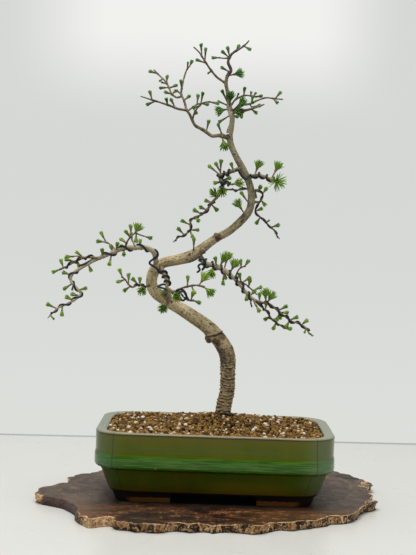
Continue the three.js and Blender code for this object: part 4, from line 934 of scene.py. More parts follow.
def build_grains(name, finish, seed, size, spacing, raised):
    """Lumps of jittered size, shape and turn on a jittered grid over the soil's surface.

    Each lump is the ball scaled along three axes, turned by a random rotation, and dented by noise.
    """
    random = np.random.default_rng(seed)
    half_x, half_y = np.array(POT_HALF) - INNER_TOP_INSET - 1.5
    pitch = GRAIN_PITCH * spacing
    x, y = np.meshgrid(np.arange(-half_x, half_x, pitch), np.arange(-half_y, half_y, pitch))
    places = np.stack([x.ravel(), y.ravel()], 1) + random.uniform(-0.55, 0.55, (x.size, 2)) * pitch
    corner = np.abs(places).sum(1) < half_x + half_y - POT_CORNER_CUT
    places = places[corner & (np.abs(places) < (half_x - 1, half_y - 1)).all(1)] + POT_CENTRE
    places = places[np.linalg.norm(places - TRUNK_LINE[1][:2], axis=1) > GRAINS_FROM_TRUNK]
    count = len(places)
    ball, faces = grain_shape()
    spread = random.uniform(0.72, 1.28, (count, 3)) * (size / 2 * random.uniform(0.65, 1.35, (count, 1)))
    turns = np.linalg.qr(random.normal(size=(count, 3, 3)))[0]
    turns *= np.linalg.det(turns)[:, None, None]
    dents = 1 + random.uniform(-0.2, 0.12, (count, len(ball), 1))
    lumps = np.einsum("nij,nkj->nki", turns, ball * dents * spread[:, None])
    lift = random.uniform(-1.5, 0.2, count) + raised
    centres = np.column_stack([places, soil_height(places[:, 0], places[:, 1]) + lift])
    points = (lumps + centres[:, None]).reshape(-1, 3)
    numbers = (faces + np.arange(count)[:, None, None] * len(ball)).reshape(-1, 4)
    tone = np.repeat(random.uniform(0, 1, count), len(ball))
    Surface().add(points, [numbers], tone=tone).make(name, finish, "soil")


# ---- Trunk

def swell(centre, out, radius, lump):
    """Radii that reach the far side of a ball where a ray from the centre line meets it."""
    away = np.array(lump[:3]) - centre
    along = np.einsum("nsk,nk->ns", out, away)
    inside = along**2 - (np.einsum("nk,nk->n", away, away) - lump[3] ** 2)[:, None]
    reach = along + np.sqrt(np.clip(inside, 0, None))
    close = np.linalg.norm(away, axis=1) < lump[3] + radius.max()
    reach = np.where((inside > 0) & close[:, None], reach, 0)
    blend = np.clip(0.5 + (reach - radius) / KNOT_BLEND, 0, 1)
    return radius + (reach - radius) * blend + KNOT_BLEND / 4 * blend * (1 - blend)


def build_trunk(finish):
    """A tube along the trunk's line whose radius is shaped by knots, ridges, wrinkles and scars.

    The radius is the line's own, times a slow wobble round the trunk, plus long ridges. Low down the
    bark is folded into shingles: a saw tooth of the height, with its phase moved by noise. Each point
    holds how much it is scar, stain, knot, the groove or the ridge of a fold, and its place on the
    unrolled bark.
    """
    line = smooth_path(TRUNK_LINE, TRUNK_STEP)
    path = line[:, :3]
    _, out, angle = tube_rings(path, line[:, 3], TRUNK_SIDES)
    length = np.arange(len(path))[:, None] * TRUNK_STEP
    wrap = np.stack(np.broadcast_arrays(
        TRUNK_WRAP_RADIUS * np.cos(angle), TRUNK_WRAP_RADIUS * np.sin(angle), length), -1)
    radius = np.repeat(line[:, 3:], TRUNK_SIDES, axis=1)
    radius = radius * (1 + 0.06 * noise(wrap, (7, 7, 26), 31))
    widest, spread = ROOT_FLARE
    radius = radius + np.exp(-((length - widest) / spread) ** 2) * (0.5 + 0.8 * noise(wrap, (5, 5, 30), 32))
    scar, stain, knotty = [np.zeros_like(radius) for _ in range(3)]
    for lump in TRUNK_KNOTS:
        radius = swell(path, out, radius, lump)
        away = np.linalg.norm(path[:, None] + out * radius[..., None] - lump[:3], axis=-1)
        knotty = np.maximum(knotty, 1 - smoothstep(lump[3], lump[3] + 3, away))
    skin = path[:, None] + out * radius[..., None]
    x, y, z = np.moveaxis(skin, -1, 0)
    radius = radius + knotty * (0.9 * noise(skin, 3.6, 39) + 0.5 * noise(skin, 1.7, 40))
    ridges = noise(wrap, (1.6, 1.6, 14), 33)
    flakes = noise(wrap, (1.3, 1.3, 2.2), 34)
    ringed = smoothstep(WRINKLED_BELOW + 8, WRINKLED_BELOW - 30, z) * (0.5 + 0.5 * smoothstep(93, 115, z))
    phase = z / WRINKLE_PITCH + 0.7 * noise(wrap, (6, 6, 8), 35)
    phase = phase + 0.3 * noise(wrap, (2.5, 2.5, 5), 41)
    shingle = (1 - phase % 1) ** 1.5
    broken = smoothstep(-0.45, 0.1, noise(wrap, (3.4, 3.4, 3.2), 36))
    radius = radius + 0.3 * ridges + 0.2 * flakes + ringed * (broken * (shingle - 0.3) * WRINKLE_DEPTH)
    for *spot, reach in TRUNK_SCARS:
        away = np.sqrt((x - spot[0]) ** 2 + 0.5 * (y - spot[1]) ** 2 + (z - spot[2]) ** 2)
        away = away + 0.55 * reach * noise(skin, reach * 0.7, 37) + 0.25 * reach * noise(skin, 1.2, 42)
        scar = np.maximum(scar, fade(away, reach, 0.3))
        radius = radius + 0.45 * np.exp(-((away / reach - 1) * 3) ** 2) - 0.6 * (away < 0.6 * reach)
    for *spot, reach in TRUNK_STAINS:
        away = np.linalg.norm(skin - spot, axis=-1) + 0.4 * reach * noise(skin, 4, 44)
        stain = np.maximum(stain, fade(away, reach, 0.35))
    (from_x, from_z), (to_x, to_z) = BEND_SEAM["from"], BEND_SEAM["to"]
    share = (x - from_x) / (to_x - from_x)
    off_seam = (z - (from_z + share * (to_z - from_z)) + 1.6 * noise(skin, 5, 38)) / BEND_SEAM["width"]
    span = smoothstep(-0.6, -0.1, share) * smoothstep(1.7, 1.1, share) * (y < path[:, None, 1] + 5)
    seam = np.exp(-off_seam**2) * span
    lip = np.exp(-(off_seam - 1.9) ** 2) * span * (0.7 + 0.5 * noise(skin, 2.5, 43))
    radius = radius - BEND_SEAM["depth"] * seam + BEND_SEAM["lip"] * lip
    groove = np.clip(ringed * broken * smoothstep(0.3, 0.02, shingle) + seam, 0, 1)
    ridge = ringed * broken * smoothstep(0.5, 0.85, shingle) * smoothstep(1, 0.9, shingle)
    rings = path[:, None] + out * radius[..., None]
    trunk = Surface().add_rings(rings, scar=scar, stain=stain, knotty=knotty, groove=groove, ridge=ridge,
                                wrap=wrap * MM)
    trunk.make("trunk_bark", finish, "bark", "trunk")


# ---- Branches and needles

def stem_line(stem_facts):
    """A stem's path at even steps and its radius, which runs straight from root to tip."""
    path = smooth_path(stem_facts["line"], STEM_STEP)
    return path, np.linspace(*stem_facts["width"], len(path)) / 2


def tuft_at(root, head, kind, stem_radius):
    """A tuft: its root, its axis, the distance from the root to where its needles spring, and its kind."""
    way = np.array(head, float) - root
    reach = max(np.linalg.norm(way) - TUFTS[kind]["length"] / 2, stem_radius + SHORTEST_SPUR)
    return root, unit(way), reach, kind


def stem_tufts(stem_facts):
    """A stem's tufts, each rooted at the slant's distance from the point that lies nearest its head."""
    path, radius = stem_line(stem_facts)
    last = len(path) - 1
    tufts = []
    for kind in TUFTS:
        for *head, slant in stem_facts.get(kind, []):
            nearest = np.argmin(np.linalg.norm(path - head, axis=1)) / last
            row = round(np.clip(nearest - slant / (last * STEM_STEP), 0, 1) * last)
            tufts.append(tuft_at(path[row], head, kind, radius[row]))
    return tufts


def add_stem(wood, stem_facts, seed):
    """A stem as a tube with a domed tip: its radius swells at each spur and every few millimetres."""
    path, radius = stem_line(stem_facts)
    length = np.arange(len(path)) * STEM_STEP
    nodes = 0.5 + 0.5 * noise(np.column_stack([length, length * 0, length * 0]), (4.5, 1, 1), seed)
    shape = radius * domed(length, length[-1], radius[-1]) * (0.94 + 0.2 * nodes**3)
    for root, *_ in stem_tufts(stem_facts):
        shape = shape + 0.4 * np.exp(-np.sum((path - root) ** 2, 1) / 3)
    shape = shape * (1 + 0.22 * np.exp(-length / 2.2))
    rings, _, angle = tube_rings(path, shape, STEM_SIDES)
    around = np.stack(np.broadcast_arrays(2 * np.cos(angle), 2 * np.sin(angle), length[:, None]), -1)
    ridges = 1 + 0.09 * noise(around, (1.2, 1.2, 5), seed + 1) + 0.08 * noise(around, 1.1, seed + 2)
    rings = path[:, None] + (rings - path[:, None]) * ridges[..., None]
    knot = fade(np.linalg.norm(rings - CROTCH_KNOT[:3], axis=-1), CROTCH_KNOT[3], 0.5)
    wood.add_rings(rings, tone=nodes[:, None], girth=radius[0], knot=knot)


def add_spur(wood, root, axis, reach, kind, seed):
    """A short spur: a ringed barrel that widens to a cup at its end, with a low dome in it."""
    share = np.linspace(0, 1, max(7, round(reach / SPUR_STEP)))
    path = root + axis * reach * share[:, None]
    ringed = 0.12 * np.abs(np.sin(share * reach * pi / SPUR_RING_PITCH + seed))
    cup = TUFTS[kind]["foot"] + SPUR_CUP_LIP
    bulge = SPUR_RADIUS * (0.8 + ringed) + (cup - SPUR_RADIUS) * smoothstep(0.55, 1, share)
    path = np.vstack([path, path[-1] + axis * 0.45, path[-1] + axis * 0.8])
    rings = tube_rings(path, np.append(bulge, cup * np.array([0.8, 0.35])), SPUR_SIDES)[0]
    wood.add_rings(rings, tone=np.append(0.2 + share * 0.5, [0.9, 0.9])[:, None], girth=1, knot=0)


def tuft_needles(root, axis, reach, kind, random):
    """Needles that spring from a spur's cup in a golden-angle spiral, leaning further out with each turn.

    A needle is a flattened tube of four sides. Its centre line is foot + direction x s + out x curve x s
    squared, and its width swells and then tapers to a point. Returns points (needles, 17, 3).
    """
    tuft = TUFTS[kind]
    across = unit(np.cross(axis, np.roll(axis, -1)))
    up = np.cross(axis, across)
    rank = (np.arange(tuft["count"]) + 0.5) / tuft["count"]
    turn = np.arange(tuft["count"]) * GOLDEN_ANGLE + random.uniform(0, 2 * pi)
    out = np.cos(turn)[:, None] * across + np.sin(turn)[:, None] * up
    lean = (tuft["lean"] * np.sqrt(rank) * random.uniform(0.82, 1.15, len(rank)))[:, None]
    foot = root + axis * (reach - 0.3 + 0.7 * (1 - rank[:, None]))
    foot = foot + out * tuft["foot"] * np.sqrt(rank)[:, None]
    direction = axis * np.cos(lean) + out * np.sin(lean)
    direction = unit(direction + random.normal(0, 0.05, direction.shape))
    length = tuft["length"] * random.uniform(0.8, 1.06, len(rank)) * (1 - 0.08 * rank)
    shares = np.append(NEEDLE_SHARES, 1)
    line = foot[:, None] + direction[:, None] * (shares * length[:, None])[..., None]
    line = line + out[:, None] * (tuft["curve"] * shares**2 * length[:, None])[..., None]
    side = unit(np.cross(direction, out) + random.normal(0, 0.15, direction.shape))
    face = np.cross(direction, side)
    half = tuft["width"] / 2 * random.uniform(0.85, 1.15, (len(rank), 1)) * NEEDLE_WIDTHS
    corners = np.stack([side, face * 0.55, -side, face * -0.55], 1)
    body = line[:, :4, None] + corners[:, None] * half[..., None, None]
    return np.concatenate([body.reshape(len(rank), -1, 3), line[:, 4:]], 1)


# One needle's bands of four-sided faces, and the triangles at its base and its tip.
NEEDLE_BANDS = grid_faces(4, 4)
NEEDLE_ENDS = np.vstack([[[3, 2, 1], [3, 1, 0]], fan_faces(np.arange(4) + 12, 16)])


def add_tufts(wood, green, tufts, first, random):
    """Spurs and needles of some tufts: tone differs by tuft and by needle, and share runs root to tip."""
    for turn, tuft in enumerate(tufts, first):
        add_spur(wood, *tuft, turn)
        points = tuft_needles(*tuft, random)
        count = len(points)
        shift = (np.arange(count) * NEEDLE_POINTS)[:, None, None]
        tone = random.uniform(0, 1) * 0.6 + random.uniform(0, 0.4, count)
        share = np.append(np.repeat(NEEDLE_SHARES, 4), 1)
        faces = [(NEEDLE_BANDS + shift).reshape(-1, 4), (NEEDLE_ENDS + shift).reshape(-1, 3)]
        green.add(points.reshape(-1, 3), faces,
                  tone=np.repeat(tone, NEEDLE_POINTS), share=np.tile(share, count))


def build_foliage(name, stems, loose_tufts, seed, finishes):
    """Two pieces that stand for one solid: the wood of its stems and spurs, and its needles.

    Loose tufts spring straight from the trunk.
    """
    random = np.random.default_rng(seed)
    wood, green = Surface(), Surface()
    add_tufts(wood, green, loose_tufts, seed, random)
    for index, stem_facts in enumerate(stems):
        add_stem(wood, stem_facts, seed + index)
        add_tufts(wood, green, stem_tufts(stem_facts), 0, random)
    for surface, finish, part in zip((wood, green), finishes, ("wood", "needles")):
        surface.make(f"{name}_{part}", finish, "foliage", name)


# ---- Wires

def coil(stem_facts, start, end, turns, phase, wire_radius):
    """Points of a helix round a stem, which touches its bark: turns run evenly from one share to another."""
    path, radius = stem_line(stem_facts)
    along = unit(np.gradient(path, axis=0))
    across = unit((0, 1, 0) - along * along[:, 1:2])
    progress = np.linspace(0, 1, int(turns * COIL_POINTS_PER_TURN) + 1)
    row = (start + (end - start) * progress) * (len(path) - 1)
    angle = ((phase + progress * turns) * 2 * pi)[:, None]
    place = np.column_stack([path, across, np.cross(along, across), radius])
    place = np.stack([np.interp(row, np.arange(len(path)), column) for column in place.T], 1)
    out = np.cos(angle) * place[:, 3:6] + np.sin(angle) * place[:, 6:9]
    return place[:, :3] + out * (place[:, 9:] + wire_radius - WIRE_PRESS)


def build_wire(name, radius, runs, finish):
    """A round wire with domed ends through all of its coils and the free points between them."""
    runs = [coil(*run, radius) if isinstance(run, tuple) else run for run in runs]
    path = smooth_path(np.vstack(runs), WIRE_STEP)
    length = np.arange(len(path)) * WIRE_STEP
    ends = domed(length, length[-1], radius) * domed(length[::-1], length[-1], radius)
    rings = tube_rings(path, radius * ends, WIRE_SIDES)[0]
    Surface().add_rings(rings).make(f"{name}_run", finish, "wire", name)


# ---- Materials

def burl_finish():
    """Oiled burl: grey-brown wood with a swirling dark figure; at the edge, pale wood and dark bark.

    Inland is the way in from the edge in millimetres, and below 0 the depth under the top.
    """
    f = Finish("burl_wood")
    x, y = f.axis("X"), f.axis("Y")
    inland, front, dark, damp = [f.value(name) for name in ("inland", "front", "dark", "damp")]
    broad = f.noise(34, 4, 0.6, 1.5, (1, 0.6, 1))
    grain = f.noise(4, 5, 0.7, 0.8, (0.3, 0.6, 1))
    twisted = f.noise(7, 5, 0.68, 2, (0.6, 0.55, 1))
    fine = f.noise(3.4, 4, 0.65, 1, (0.5, 0.5, 1))
    streaks = f.noise(22, 3, 0.6, 1, (0.5, 1, 1))
    speck = f.noise(3.2, 4, 0.72, 0.6)
    fibre = f.noise(3, 3, 0.65, 0.8, (1, 1, 0.45))
    patch = f.noise(11, 3, 0.6, 0.5, (1, 1, 0.5))
    flecks = fine.step(0.54, 0.6) * streaks.step(0.44, 0.56) * front.step(0.45, 0.9)
    red = f.paint(
        f.mix(streaks.step(0.42, 0.58), (22, 8, 0), (84, 44, 16)),
        (twisted.step(0.5, 0.6) * 0.7, (18, 6, 0)),
        (x.step(0.02, 0.09) * twisted * 0.5, (136, 98, 62)),
        (flecks * 0.9, (164, 118, 74)))
    pale_lobe = x.step(-0.095, -0.135) * y.step(-0.095, -0.135)
    pot_shadow = x.step(-0.13, -0.09) * y.step(-0.115, -0.15)
    top = f.paint(
        f.mix(broad.step(0.38, 0.62), (72, 58, 47), (108, 90, 74)),
        (grain.step(0.46, 0.58) * 0.6, (52, 38, 30)),
        (twisted.step(0.56, 0.62) * 0.7, (34, 22, 17)),
        (fine.step(0.58, 0.64) * 0.5, (140, 118, 96)),
        (pale_lobe * 0.4, (156, 112, 70)),
        (front, red),
        (pot_shadow * 0.22, (24, 8, 0)),
        # painted shade: the top goes almost black under the pot
        (damp * 0.97, (2, 1, 1)),
        (f.value("cleft").step(0.3, 0.7) * 0.85, (44, 44, 37)))
    bark = f.paint(
        f.mix(speck.step(0.4, 0.58), (30, 16, 10), (92, 60, 38)),
        (speck.step(0.575, 0.615), (226, 194, 146)))
    tan = f.paint(
        f.mix(fibre.step(0.38, 0.62), (104, 62, 36), (206, 152, 100)),
        (fibre.step(0.6, 0.68) * 0.8, (238, 208, 160)),
        (speck.step(0.42, 0.37) * 0.8, (44, 22, 12)))
    smooth_bark = f.mix(inland.step(-3, -11), f.mix(speck, (46, 32, 32), (92, 74, 72)), (58, 42, 40))
    sawn = f.paint(
        f.mix(fibre.step(0.35, 0.65), (150, 104, 64), (224, 190, 144)),
        (speck.step(0.44, 0.38) * 0.7, (78, 48, 30)))
    lip = inland + (f.noise(7, 3, 0.6) * 6 - 3)
    rind = lip.step(-1.4, 0.2) * (1 - dark) * f.noise(16, 2).step(0.36, 0.5)
    colour = f.paint(
        f.mix(patch.step(0.54, 0.58), bark, tan),
        (patch.step(0.5, 0.52) * patch.step(0.56, 0.535) * 0.8, (228, 196, 148)),
        # painted shade: a dark band low on the edge, where the slab meets the floor
        (inland.step(-9.6, -11.4) * 0.8, (26, 18, 16)),
        (dark * 0.94, smooth_bark),
        (f.value("sawn"), sawn),
        (rind, (216, 178, 124)),
        (lip.step(0.2, 1.4), top))
    rough = f.noise(12, 3) * 0.16 + 0.44 + damp * 0.45
    return f.done(colour, rough, f.bump(twisted, 0.35, f.bump(speck, 0.6)), 0.2)


def glaze_finish():
    """Green glaze in bands, thin and amber where it ran off the edges, over dark brown clay."""
    f = Finish("green_glaze")
    x, up, corner = f.axis("X"), f.axis("Z"), f.value("corner")
    run = f.noise(12, 4, 0.6, 0, (1, 1, 0.16))
    pool = f.noise(46, 3, 0.5, 0, (1, 1, 0.6))
    lines = f.noise(1.7, 3, 0.6, 0, (0.05, 0.05, 1))
    level = up + (pool - 0.5) * 0.002

    def between(start, end):
        """Rises from 0 to 1 between two depths under the rim in millimetres."""
        return level.step((RIM_Z - start) * MM, (RIM_Z - end) * MM)

    lip = between(2.6, 1.4)
    amber = x.step(-0.03, 0.02) * x.step(0.13, 0.06) * between(54, 68)
    lower = f.paint(
        f.mix(pool.step(0.3, 0.7), (66, 74, 2), (56, 84, 4)),
        (run.step(0.45, 0.75) * 0.4, (96, 82, 4)),
        # painted reflection: the cut corners are bluer where they face the bright surroundings
        (corner * 0.6, (46, 84, 26)),
        (between(62, 76) * 0.5, (84, 62, 4)),
        (amber * 0.5, (116, 98, 4)))
    belt = f.paint(
        f.mix(lines.step(0.42, 0.6), (50, 94, 12), (80, 124, 40)),
        (pool.step(0.55, 0.8) * 0.5, (54, 116, 40)),
        # painted reflection: the belt's cut corners are greyer and bluer
        (corner * 0.5, (74, 112, 82)))
    upper = f.paint(
        f.mix(pool.step(0.3, 0.7), (78, 92, 2), (90, 98, 4)),
        (run.step(0.5, 0.8) * 0.35, (104, 98, 6)),
        (lines.step(0.5, 0.66) * 0.3, (62, 84, 4)),
        (between(18, 6) * 0.5, (104, 92, 10)),
        # painted reflection: the upper band's cut corners are grey-green
        (corner * 0.6, (84, 96, 62)))
    glazed = f.paint(
        lower,
        # painted shadow: a dark band just under the belt's lower lip
        (between(48.6, 47), (28, 42, 4)),
        (between(47, 45.3), belt),
        (between(31.8, 26.8), upper),
        (between(4.6, 3.2), (60, 58, 30)),
        (lip, (124, 130, 106)),
        # painted reflection: the pot's right end is paler and greyer
        (x.step(0.105, 0.135) * 0.14, (150, 158, 130)),
        (f.axis("Y").step(-0.098, -0.104) * lip * 0.7, (136, 120, 84)),
        (corner.step(0.44, 0.49) * corner.step(0.56, 0.51) * 0.55, (30, 38, 14)),
        (f.away(GLAZE_CHIP).step(0.0018, 0.001), (150, 128, 72)))
    edge = (SLAB_THICKNESS + 7) * MM
    lit_foot_level = up + (f.noise(9, 3) - 0.5) * 0.003
    # painted light: the tan band low on the feet is the clay where light reaches under the body
    clay = f.paint(
        f.mix(f.noise(6, 4, 0.6), (18, 7, 2), (38, 20, 8)),
        (lit_foot_level.step(edge + 0.0006, edge - 0.0006) * (1 - corner), f.mix(lines, (108, 70, 24), (140, 96, 44))))
    glaze = f.value("glaze").step(0.3, 0.7)
    rough = 0.72 - glaze * (0.42 + 0.14 * between(52, 46)) + f.noise(3, 3) * 0.06
    relief = f.bump(f.noise(9, 2), 0.25, f.bump(lines, 0.06))
    return f.done(f.mix(glaze, clay, glazed), rough, relief, 0.28)


def even_finish(name, low, high, grain, rough, depth=0, patches=None, **shine):
    """A finish of one noise, which mixes two colours, stands depth high and adds to the roughness.

    Grain is the noise's size and detail, and rough is the base and how much the noise adds. Patches
    is another noise that varies the roughness instead.
    """
    f = Finish(name)
    pattern = f.noise(*grain)
    base, added = rough
    rough = (f.noise(*patches) if patches else pattern) * added + base
    return f.done(f.mix(pattern, low, high), rough, f.bump(pattern, depth) if depth else None, **shine)


def clay_grain_finish():
    """Baked clay grains from dark brown to tan and ochre, each of its own tone, with a dusty face."""
    f = Finish("clay_grains")
    tone, pores = f.value("tone"), f.noise(1.1, 3, 0.7)
    colour = f.paint(
        f.mix(tone.step(0, 0.5), (56, 40, 18), (116, 86, 40)),
        (tone.step(0.5, 0.9), (158, 120, 62)),
        (tone.step(0.965, 0.975), (204, 180, 138)),
        (pores.step(0.5, 0.75) * 0.45, (58, 38, 20)))
    return f.done(colour, pores * 0.1 + 0.82, f.bump(pores, 0.5), 0.25)


def pumice_finish():
    """Cream pumice with small dark pores."""
    f = Finish("pumice")
    pores = f.noise(0.9, 3, 0.7)
    colour = f.paint(
        f.mix(f.value("tone"), (206, 184, 150), (238, 230, 214)),
        (pores.step(0.55, 0.7) * 0.6, (136, 110, 80)))
    return f.done(colour, pores * 0.1 + 0.8, f.bump(pores, 0.5), 0.25)


def bark_finish():
    """Smooth olive-tan bark with specks and blotches, dark scars, and dark folds near the soil."""
    f = Finish("larch_bark")
    wrap, up = f.value("wrap", "Vector"), f.axis("Z")
    mixed = f.noise(8, 4, 0.65, 0.5, (1, 1, 0.45), wrap).step(0.32, 0.66)
    streak = f.noise(2.4, 4, 0.65, 0, (1, 1, 0.16), wrap)
    speck = f.noise(1.9, 4, 0.7, 0, (1, 1, 0.7), wrap)
    dot = f.noise(3.4, 4, 0.75, 0, (1, 1, 0.8), wrap)
    pale = f.noise(4.5, 4, 0.7, 0, (1, 1, 0.6), wrap)
    # painted light: the left side of the trunk's S-bend is lighter, as if lit from the left
    lit_bend = f.axis("X").step(-0.015, -0.05) * up.step(0.325, 0.3)
    grey = up.step(0.315, 0.33) * 0.45 + up.step(0.362, 0.38) * 0.55
    shaded = up.step(0.355, 0.372) * up.step(0.405, 0.388)
    stain = f.value("stain") * (speck.step(0.3, 0.55) * 0.6 + 0.4)
    groove = f.value("groove").step(0.1, 0.8) * (pale.step(0.36, 0.52) * 0.55 + 0.45)
    colour = f.paint(
        f.mix(mixed, (144, 124, 86), (200, 180, 139)),
        (lit_bend * 0.75, f.mix(mixed, (186, 168, 124), (230, 216, 176))),
        (grey, f.mix(mixed, (108, 101, 79), (164, 156, 128))),
        (shaded * 0.22, (60, 58, 44)),
        (up.step(0.448, 0.47) * 0.2, (220, 212, 188)),
        (up.step(0.205, 0.175), f.mix(mixed, (124, 108, 80), (180, 160, 124))),
        (streak.step(0.5, 0.7) * 0.45, (206, 192, 156)),
        (f.noise(16, 2, on=wrap).step(0.5, 0.7) * 0.4, (132, 130, 98)),
        (pale.step(0.56, 0.68) * 0.4, (216, 204, 172)),
        (speck.step(0.52, 0.62) * 0.75, (82, 64, 44)),
        (dot.step(0.6, 0.66) * 0.8, (62, 46, 36)),
        # painted shade: bark that faces down is darker
        (f.lean("Z").step(-0.25, -0.9) * 0.45, (60, 52, 34)),
        (f.value("knotty") * 0.5, (96, 74, 56)),
        (stain * 0.8, f.mix(up.step(0.24, 0.26), (46, 42, 36), (92, 64, 55))),
        (up.step(0.155, 0.125) * 0.3, (150, 112, 66)),
        (up.step(0.1215, 0.1185) * 0.85, (30, 21, 15)),
        # painted light: the raised lips of the folds are paler
        (f.value("ridge") * 0.55, (206, 188, 150)),
        # painted shade: the grooves under the folds and along the bend's seam are dark
        (groove * 0.9, (40, 30, 23)),
        (f.value("scar").step(0.05, 0.8) * 0.85, f.mix(speck, (44, 30, 28), (96, 72, 62))))
    relief = f.bump(speck, 0.5, f.bump(streak, 0.5))
    return f.done(colour, f.noise(4, 2) * 0.12 + 0.7, relief, 0.25)


def twig_finish():
    """Brown twig bark, darker between the nodes and tan on the older wood."""
    f = Finish("twig_bark")
    girth, up = f.value("girth"), f.axis("Z")
    patch = f.noise(3.5, 4, 0.65)
    leader = girth.step(3.3, 3.7)
    colour = f.paint(
        f.mix(patch.step(0.36, 0.64), (74, 64, 44), (152, 137, 102)),
        (girth.step(1.1, 2.6) * 0.5, (156, 146, 112)),
        (f.value("tone").step(0.5, 0.9) * 0.5, (64, 52, 40)),
        (f.noise(1.1, 3).step(0.52, 0.66) * 0.6, (46, 36, 28)),
        # painted shade: twig bark that faces down is darker
        (up.step(0.48, 0.51) * 0.3, (66, 54, 42)),
        (f.lean("Z").step(-0.1, -0.8) * 0.4, (40, 34, 24)),
        (up.step(0.545, 0.53) * leader * 0.6, (178, 168, 142)),
        (up.step(0.56, 0.57) * leader * 0.75, (62, 58, 60)),
        (f.value("knot") * patch.step(0.42, 0.5) * 0.9, (206, 194, 166)))
    return f.done(colour, patch * 0.15 + 0.65, f.bump(patch, 0.3), 0.3)


def needle_finish():
    """Soft green needles: the upper tufts are bluer, and each needle is paler at its foot and its tip."""
    f = Finish("larch_needles")
    share = f.value("share")
    high = f.axis("Z").step(0.423, 0.543)
    dark = f.mix(high, (70, 118, 26), (40, 88, 34))
    light = f.mix(high, (150, 184, 66), (92, 146, 62))
    colour = f.paint(
        f.mix(f.value("tone"), dark, light),
        (share.step(0.3, 0) * 0.5, (170, 182, 92)),
        (share.step(0.75, 1) * 0.3, (172, 196, 104)))
    return f.done(colour, f.noise(2, 2) * 0.1 + 0.45, None, 0.3)


# ---- Stage

CAMERA_PLACE = (-0.0129, -1.8588, 0.3626)
CAMERA_PITCH = -0.0345
CAMERA_ROLL = 0.0337
CAMERA_LENS = 90.81
CAMERA_SENSOR = 36
FLOOR_FRONT = -3
FLOOR_BACK = ((-3.02, 0.344), (3.02, 0.738))
EDGE_HEIGHT = 0.0026
EDGE_LEAN = 0.001
LAMP_PLACE = (-0.2, -0.3, 1.9)
LAMP_AIM = (0, 0, 0.2)
LAMP_SIZE = 1.1
LAMP_WATTS = 24


def stage_plane(name, corners, finish):
    """A flat stage polygon, which isn't part of the object."""
    plane = bare_object(name, corners, [tuple(range(len(corners)))])
    plane.data.materials.append(finish)


def build_stage():
    """A pale floor that ends behind the object in a thin dark strip of painted shade; the world stands for
    the wall.
    """
    (left, left_y), (right, right_y) = FLOOR_BACK
    back = [(right, right_y, 0), (left, left_y, 0)]
    floor = even_finish("pale_floor", (210, 210, 205), (205, 205, 200), (300, 2), (0.24, 0.1),
                        patches=(60, 2), gloss=0.4)
    stage_plane("floor", [(left, FLOOR_FRONT, 0), (right, FLOOR_FRONT, 0), *back], floor)
    # painted shade: a thin dark strip for the shade in the gap where the floor meets the wall
    edge = even_finish("floor_edge_shade", (176, 178, 177), (190, 192, 191), (200, 2), (0.8, 0))
    raised = [(x, y + EDGE_LEAN, EDGE_HEIGHT) for x, y, _ in back]
    stage_plane("floor_back_edge", [*back[::-1], *raised], edge)


def build_world():
    """The studio round the object, by direction.

    What the camera sees is a pale wall, a little lighter towards the floor, with a soft glow high in
    the middle. What lights the object is brighter overhead and darker on the camera's side.
    """
    world = bpy.data.worlds.new("studio")
    n = Nodes(world)
    direction = n.node("ShaderNodeTexCoord", {}, {}, "Generated")
    x, y, z = [n.part(direction, axis) for axis in "XYZ"]
    glow = z.step(0.07, 0.142) * x.step(-0.155, -0.07) * x.step(0.135, 0.065)
    wall = n.paint((214, 216, 214), (z.step(0.03, -0.15), (220, 222, 218)), (glow, (241, 241, 238)))
    room = n.paint((92, 92, 94), (y.step(-0.6, 0.4), (176, 177, 176)), (z.step(0.1, 0.9), (255, 255, 252)))
    seen = n.node("ShaderNodeLightPath", {}, {}, "Is Camera Ray")
    background = n.node("ShaderNodeBackground", {}, {"Color": n.mix(seen, room, wall), "Strength": 1})
    n.node("ShaderNodeOutputWorld", {}, {"Surface": background}, None)
    bpy.context.scene.world = world


def build_lamp():
    """A square lamp overhead, which faces its aim."""
    lamp = bpy.data.lights.new("overhead", "AREA")
    lamp.energy = LAMP_WATTS
    lamp.size = LAMP_SIZE
    lamp.shape = "SQUARE"
    light = placed("overhead", lamp)
    light.location = LAMP_PLACE
    light.rotation_euler = (Vector(LAMP_AIM) - Vector(LAMP_PLACE)).to_track_quat("-Z", "Y").to_euler()


def build_camera():
    """The camera, looking along +Y and a little down, rolled slightly."""
    lens = bpy.data.cameras.new("camera")
    lens.lens = CAMERA_LENS
    lens.sensor_fit = "VERTICAL"
    lens.sensor_height = CAMERA_SENSOR
    lens.sensor_width = CAMERA_SENSOR
    camera = placed("camera", lens)
    turn = Matrix.Rotation(pi / 2 + CAMERA_PITCH, 4, "X") @ Matrix.Rotation(CAMERA_ROLL, 4, "Z")
    camera.matrix_world = Matrix.Translation(CAMERA_PLACE) @ turn
    bpy.context.scene.camera = camera


# ---- Assembly

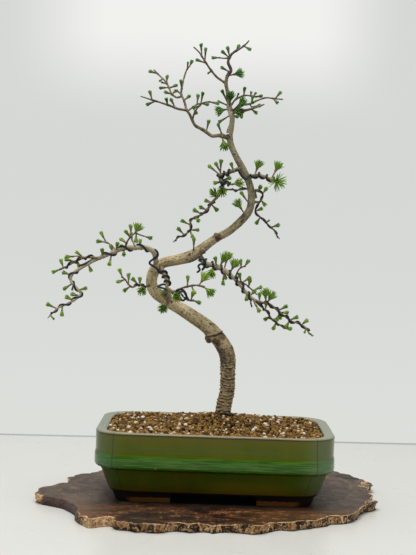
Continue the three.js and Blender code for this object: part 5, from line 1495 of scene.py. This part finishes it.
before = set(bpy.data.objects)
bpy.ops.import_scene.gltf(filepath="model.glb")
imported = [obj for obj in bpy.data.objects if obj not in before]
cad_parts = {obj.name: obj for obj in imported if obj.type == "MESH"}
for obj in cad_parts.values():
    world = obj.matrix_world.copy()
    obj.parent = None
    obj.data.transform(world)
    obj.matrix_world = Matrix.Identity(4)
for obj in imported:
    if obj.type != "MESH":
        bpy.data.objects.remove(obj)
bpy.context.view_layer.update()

# Damp fine soil, black anodised aluminium with a little wear, and matt netting with a moulded grain.
fine_soil = even_finish("fine_soil", (26, 18, 11), (66, 46, 28), (1.8, 4, 0.7), (0.85, 0.1), 0.8, (5, 2),
                        gloss=0.2)
black_wire = even_finish("black_wire", (8, 12, 17), (32, 40, 50), (2.6, 4, 0.7), (0.36, 0.2), 0.05,
                         metal=0.2)
netting = even_finish("black_netting", (22, 22, 23), (46, 46, 48), (0.8, 3), (0.55, 0.15), 0.08)

build_slab(burl_finish())
build_pot(glaze_finish())
build_soil_bed(fine_soil)
clay_seed, pumice_seed = GRAIN_SEEDS
build_grains("clay_grains", clay_grain_finish(), clay_seed, CLAY_GRAIN, 1, 0)
build_grains("pumice_grains", pumice_finish(), pumice_seed, PUMICE_GRAIN, PUMICE_SPACING, PUMICE_LIFT)
build_trunk(bark_finish())
wood_and_leaf = (twig_finish(), needle_finish())
for number, (branch, branch_stems) in enumerate(BRANCHES.items()):
    branch_seed = BRANCH_SEED + BRANCH_SEED_STEP * number
    build_foliage(branch, branch_stems.values(), [], branch_seed, wood_and_leaf)
for number, (spray, facts) in enumerate(TRUNK_SPRAYS.items()):
    build_foliage(spray, [], [tuft_at(*facts, TRUNK_SPRAY_ROOT_DEPTH)], SPRAY_SEED + number, wood_and_leaf)
for wire_name, (wire_radius, wire_runs) in WIRES.items():
    build_wire(wire_name, wire_radius, wire_runs, black_wire)
for pad in ("drain_mesh_left", "drain_mesh_right"):
    bpy.data.objects[pad].data.materials.clear()
    bpy.data.objects[pad].data.materials.append(netting)

build_stage()
build_world()
build_lamp()
build_camera()
bpy.context.scene.view_settings.view_transform = "Standard"
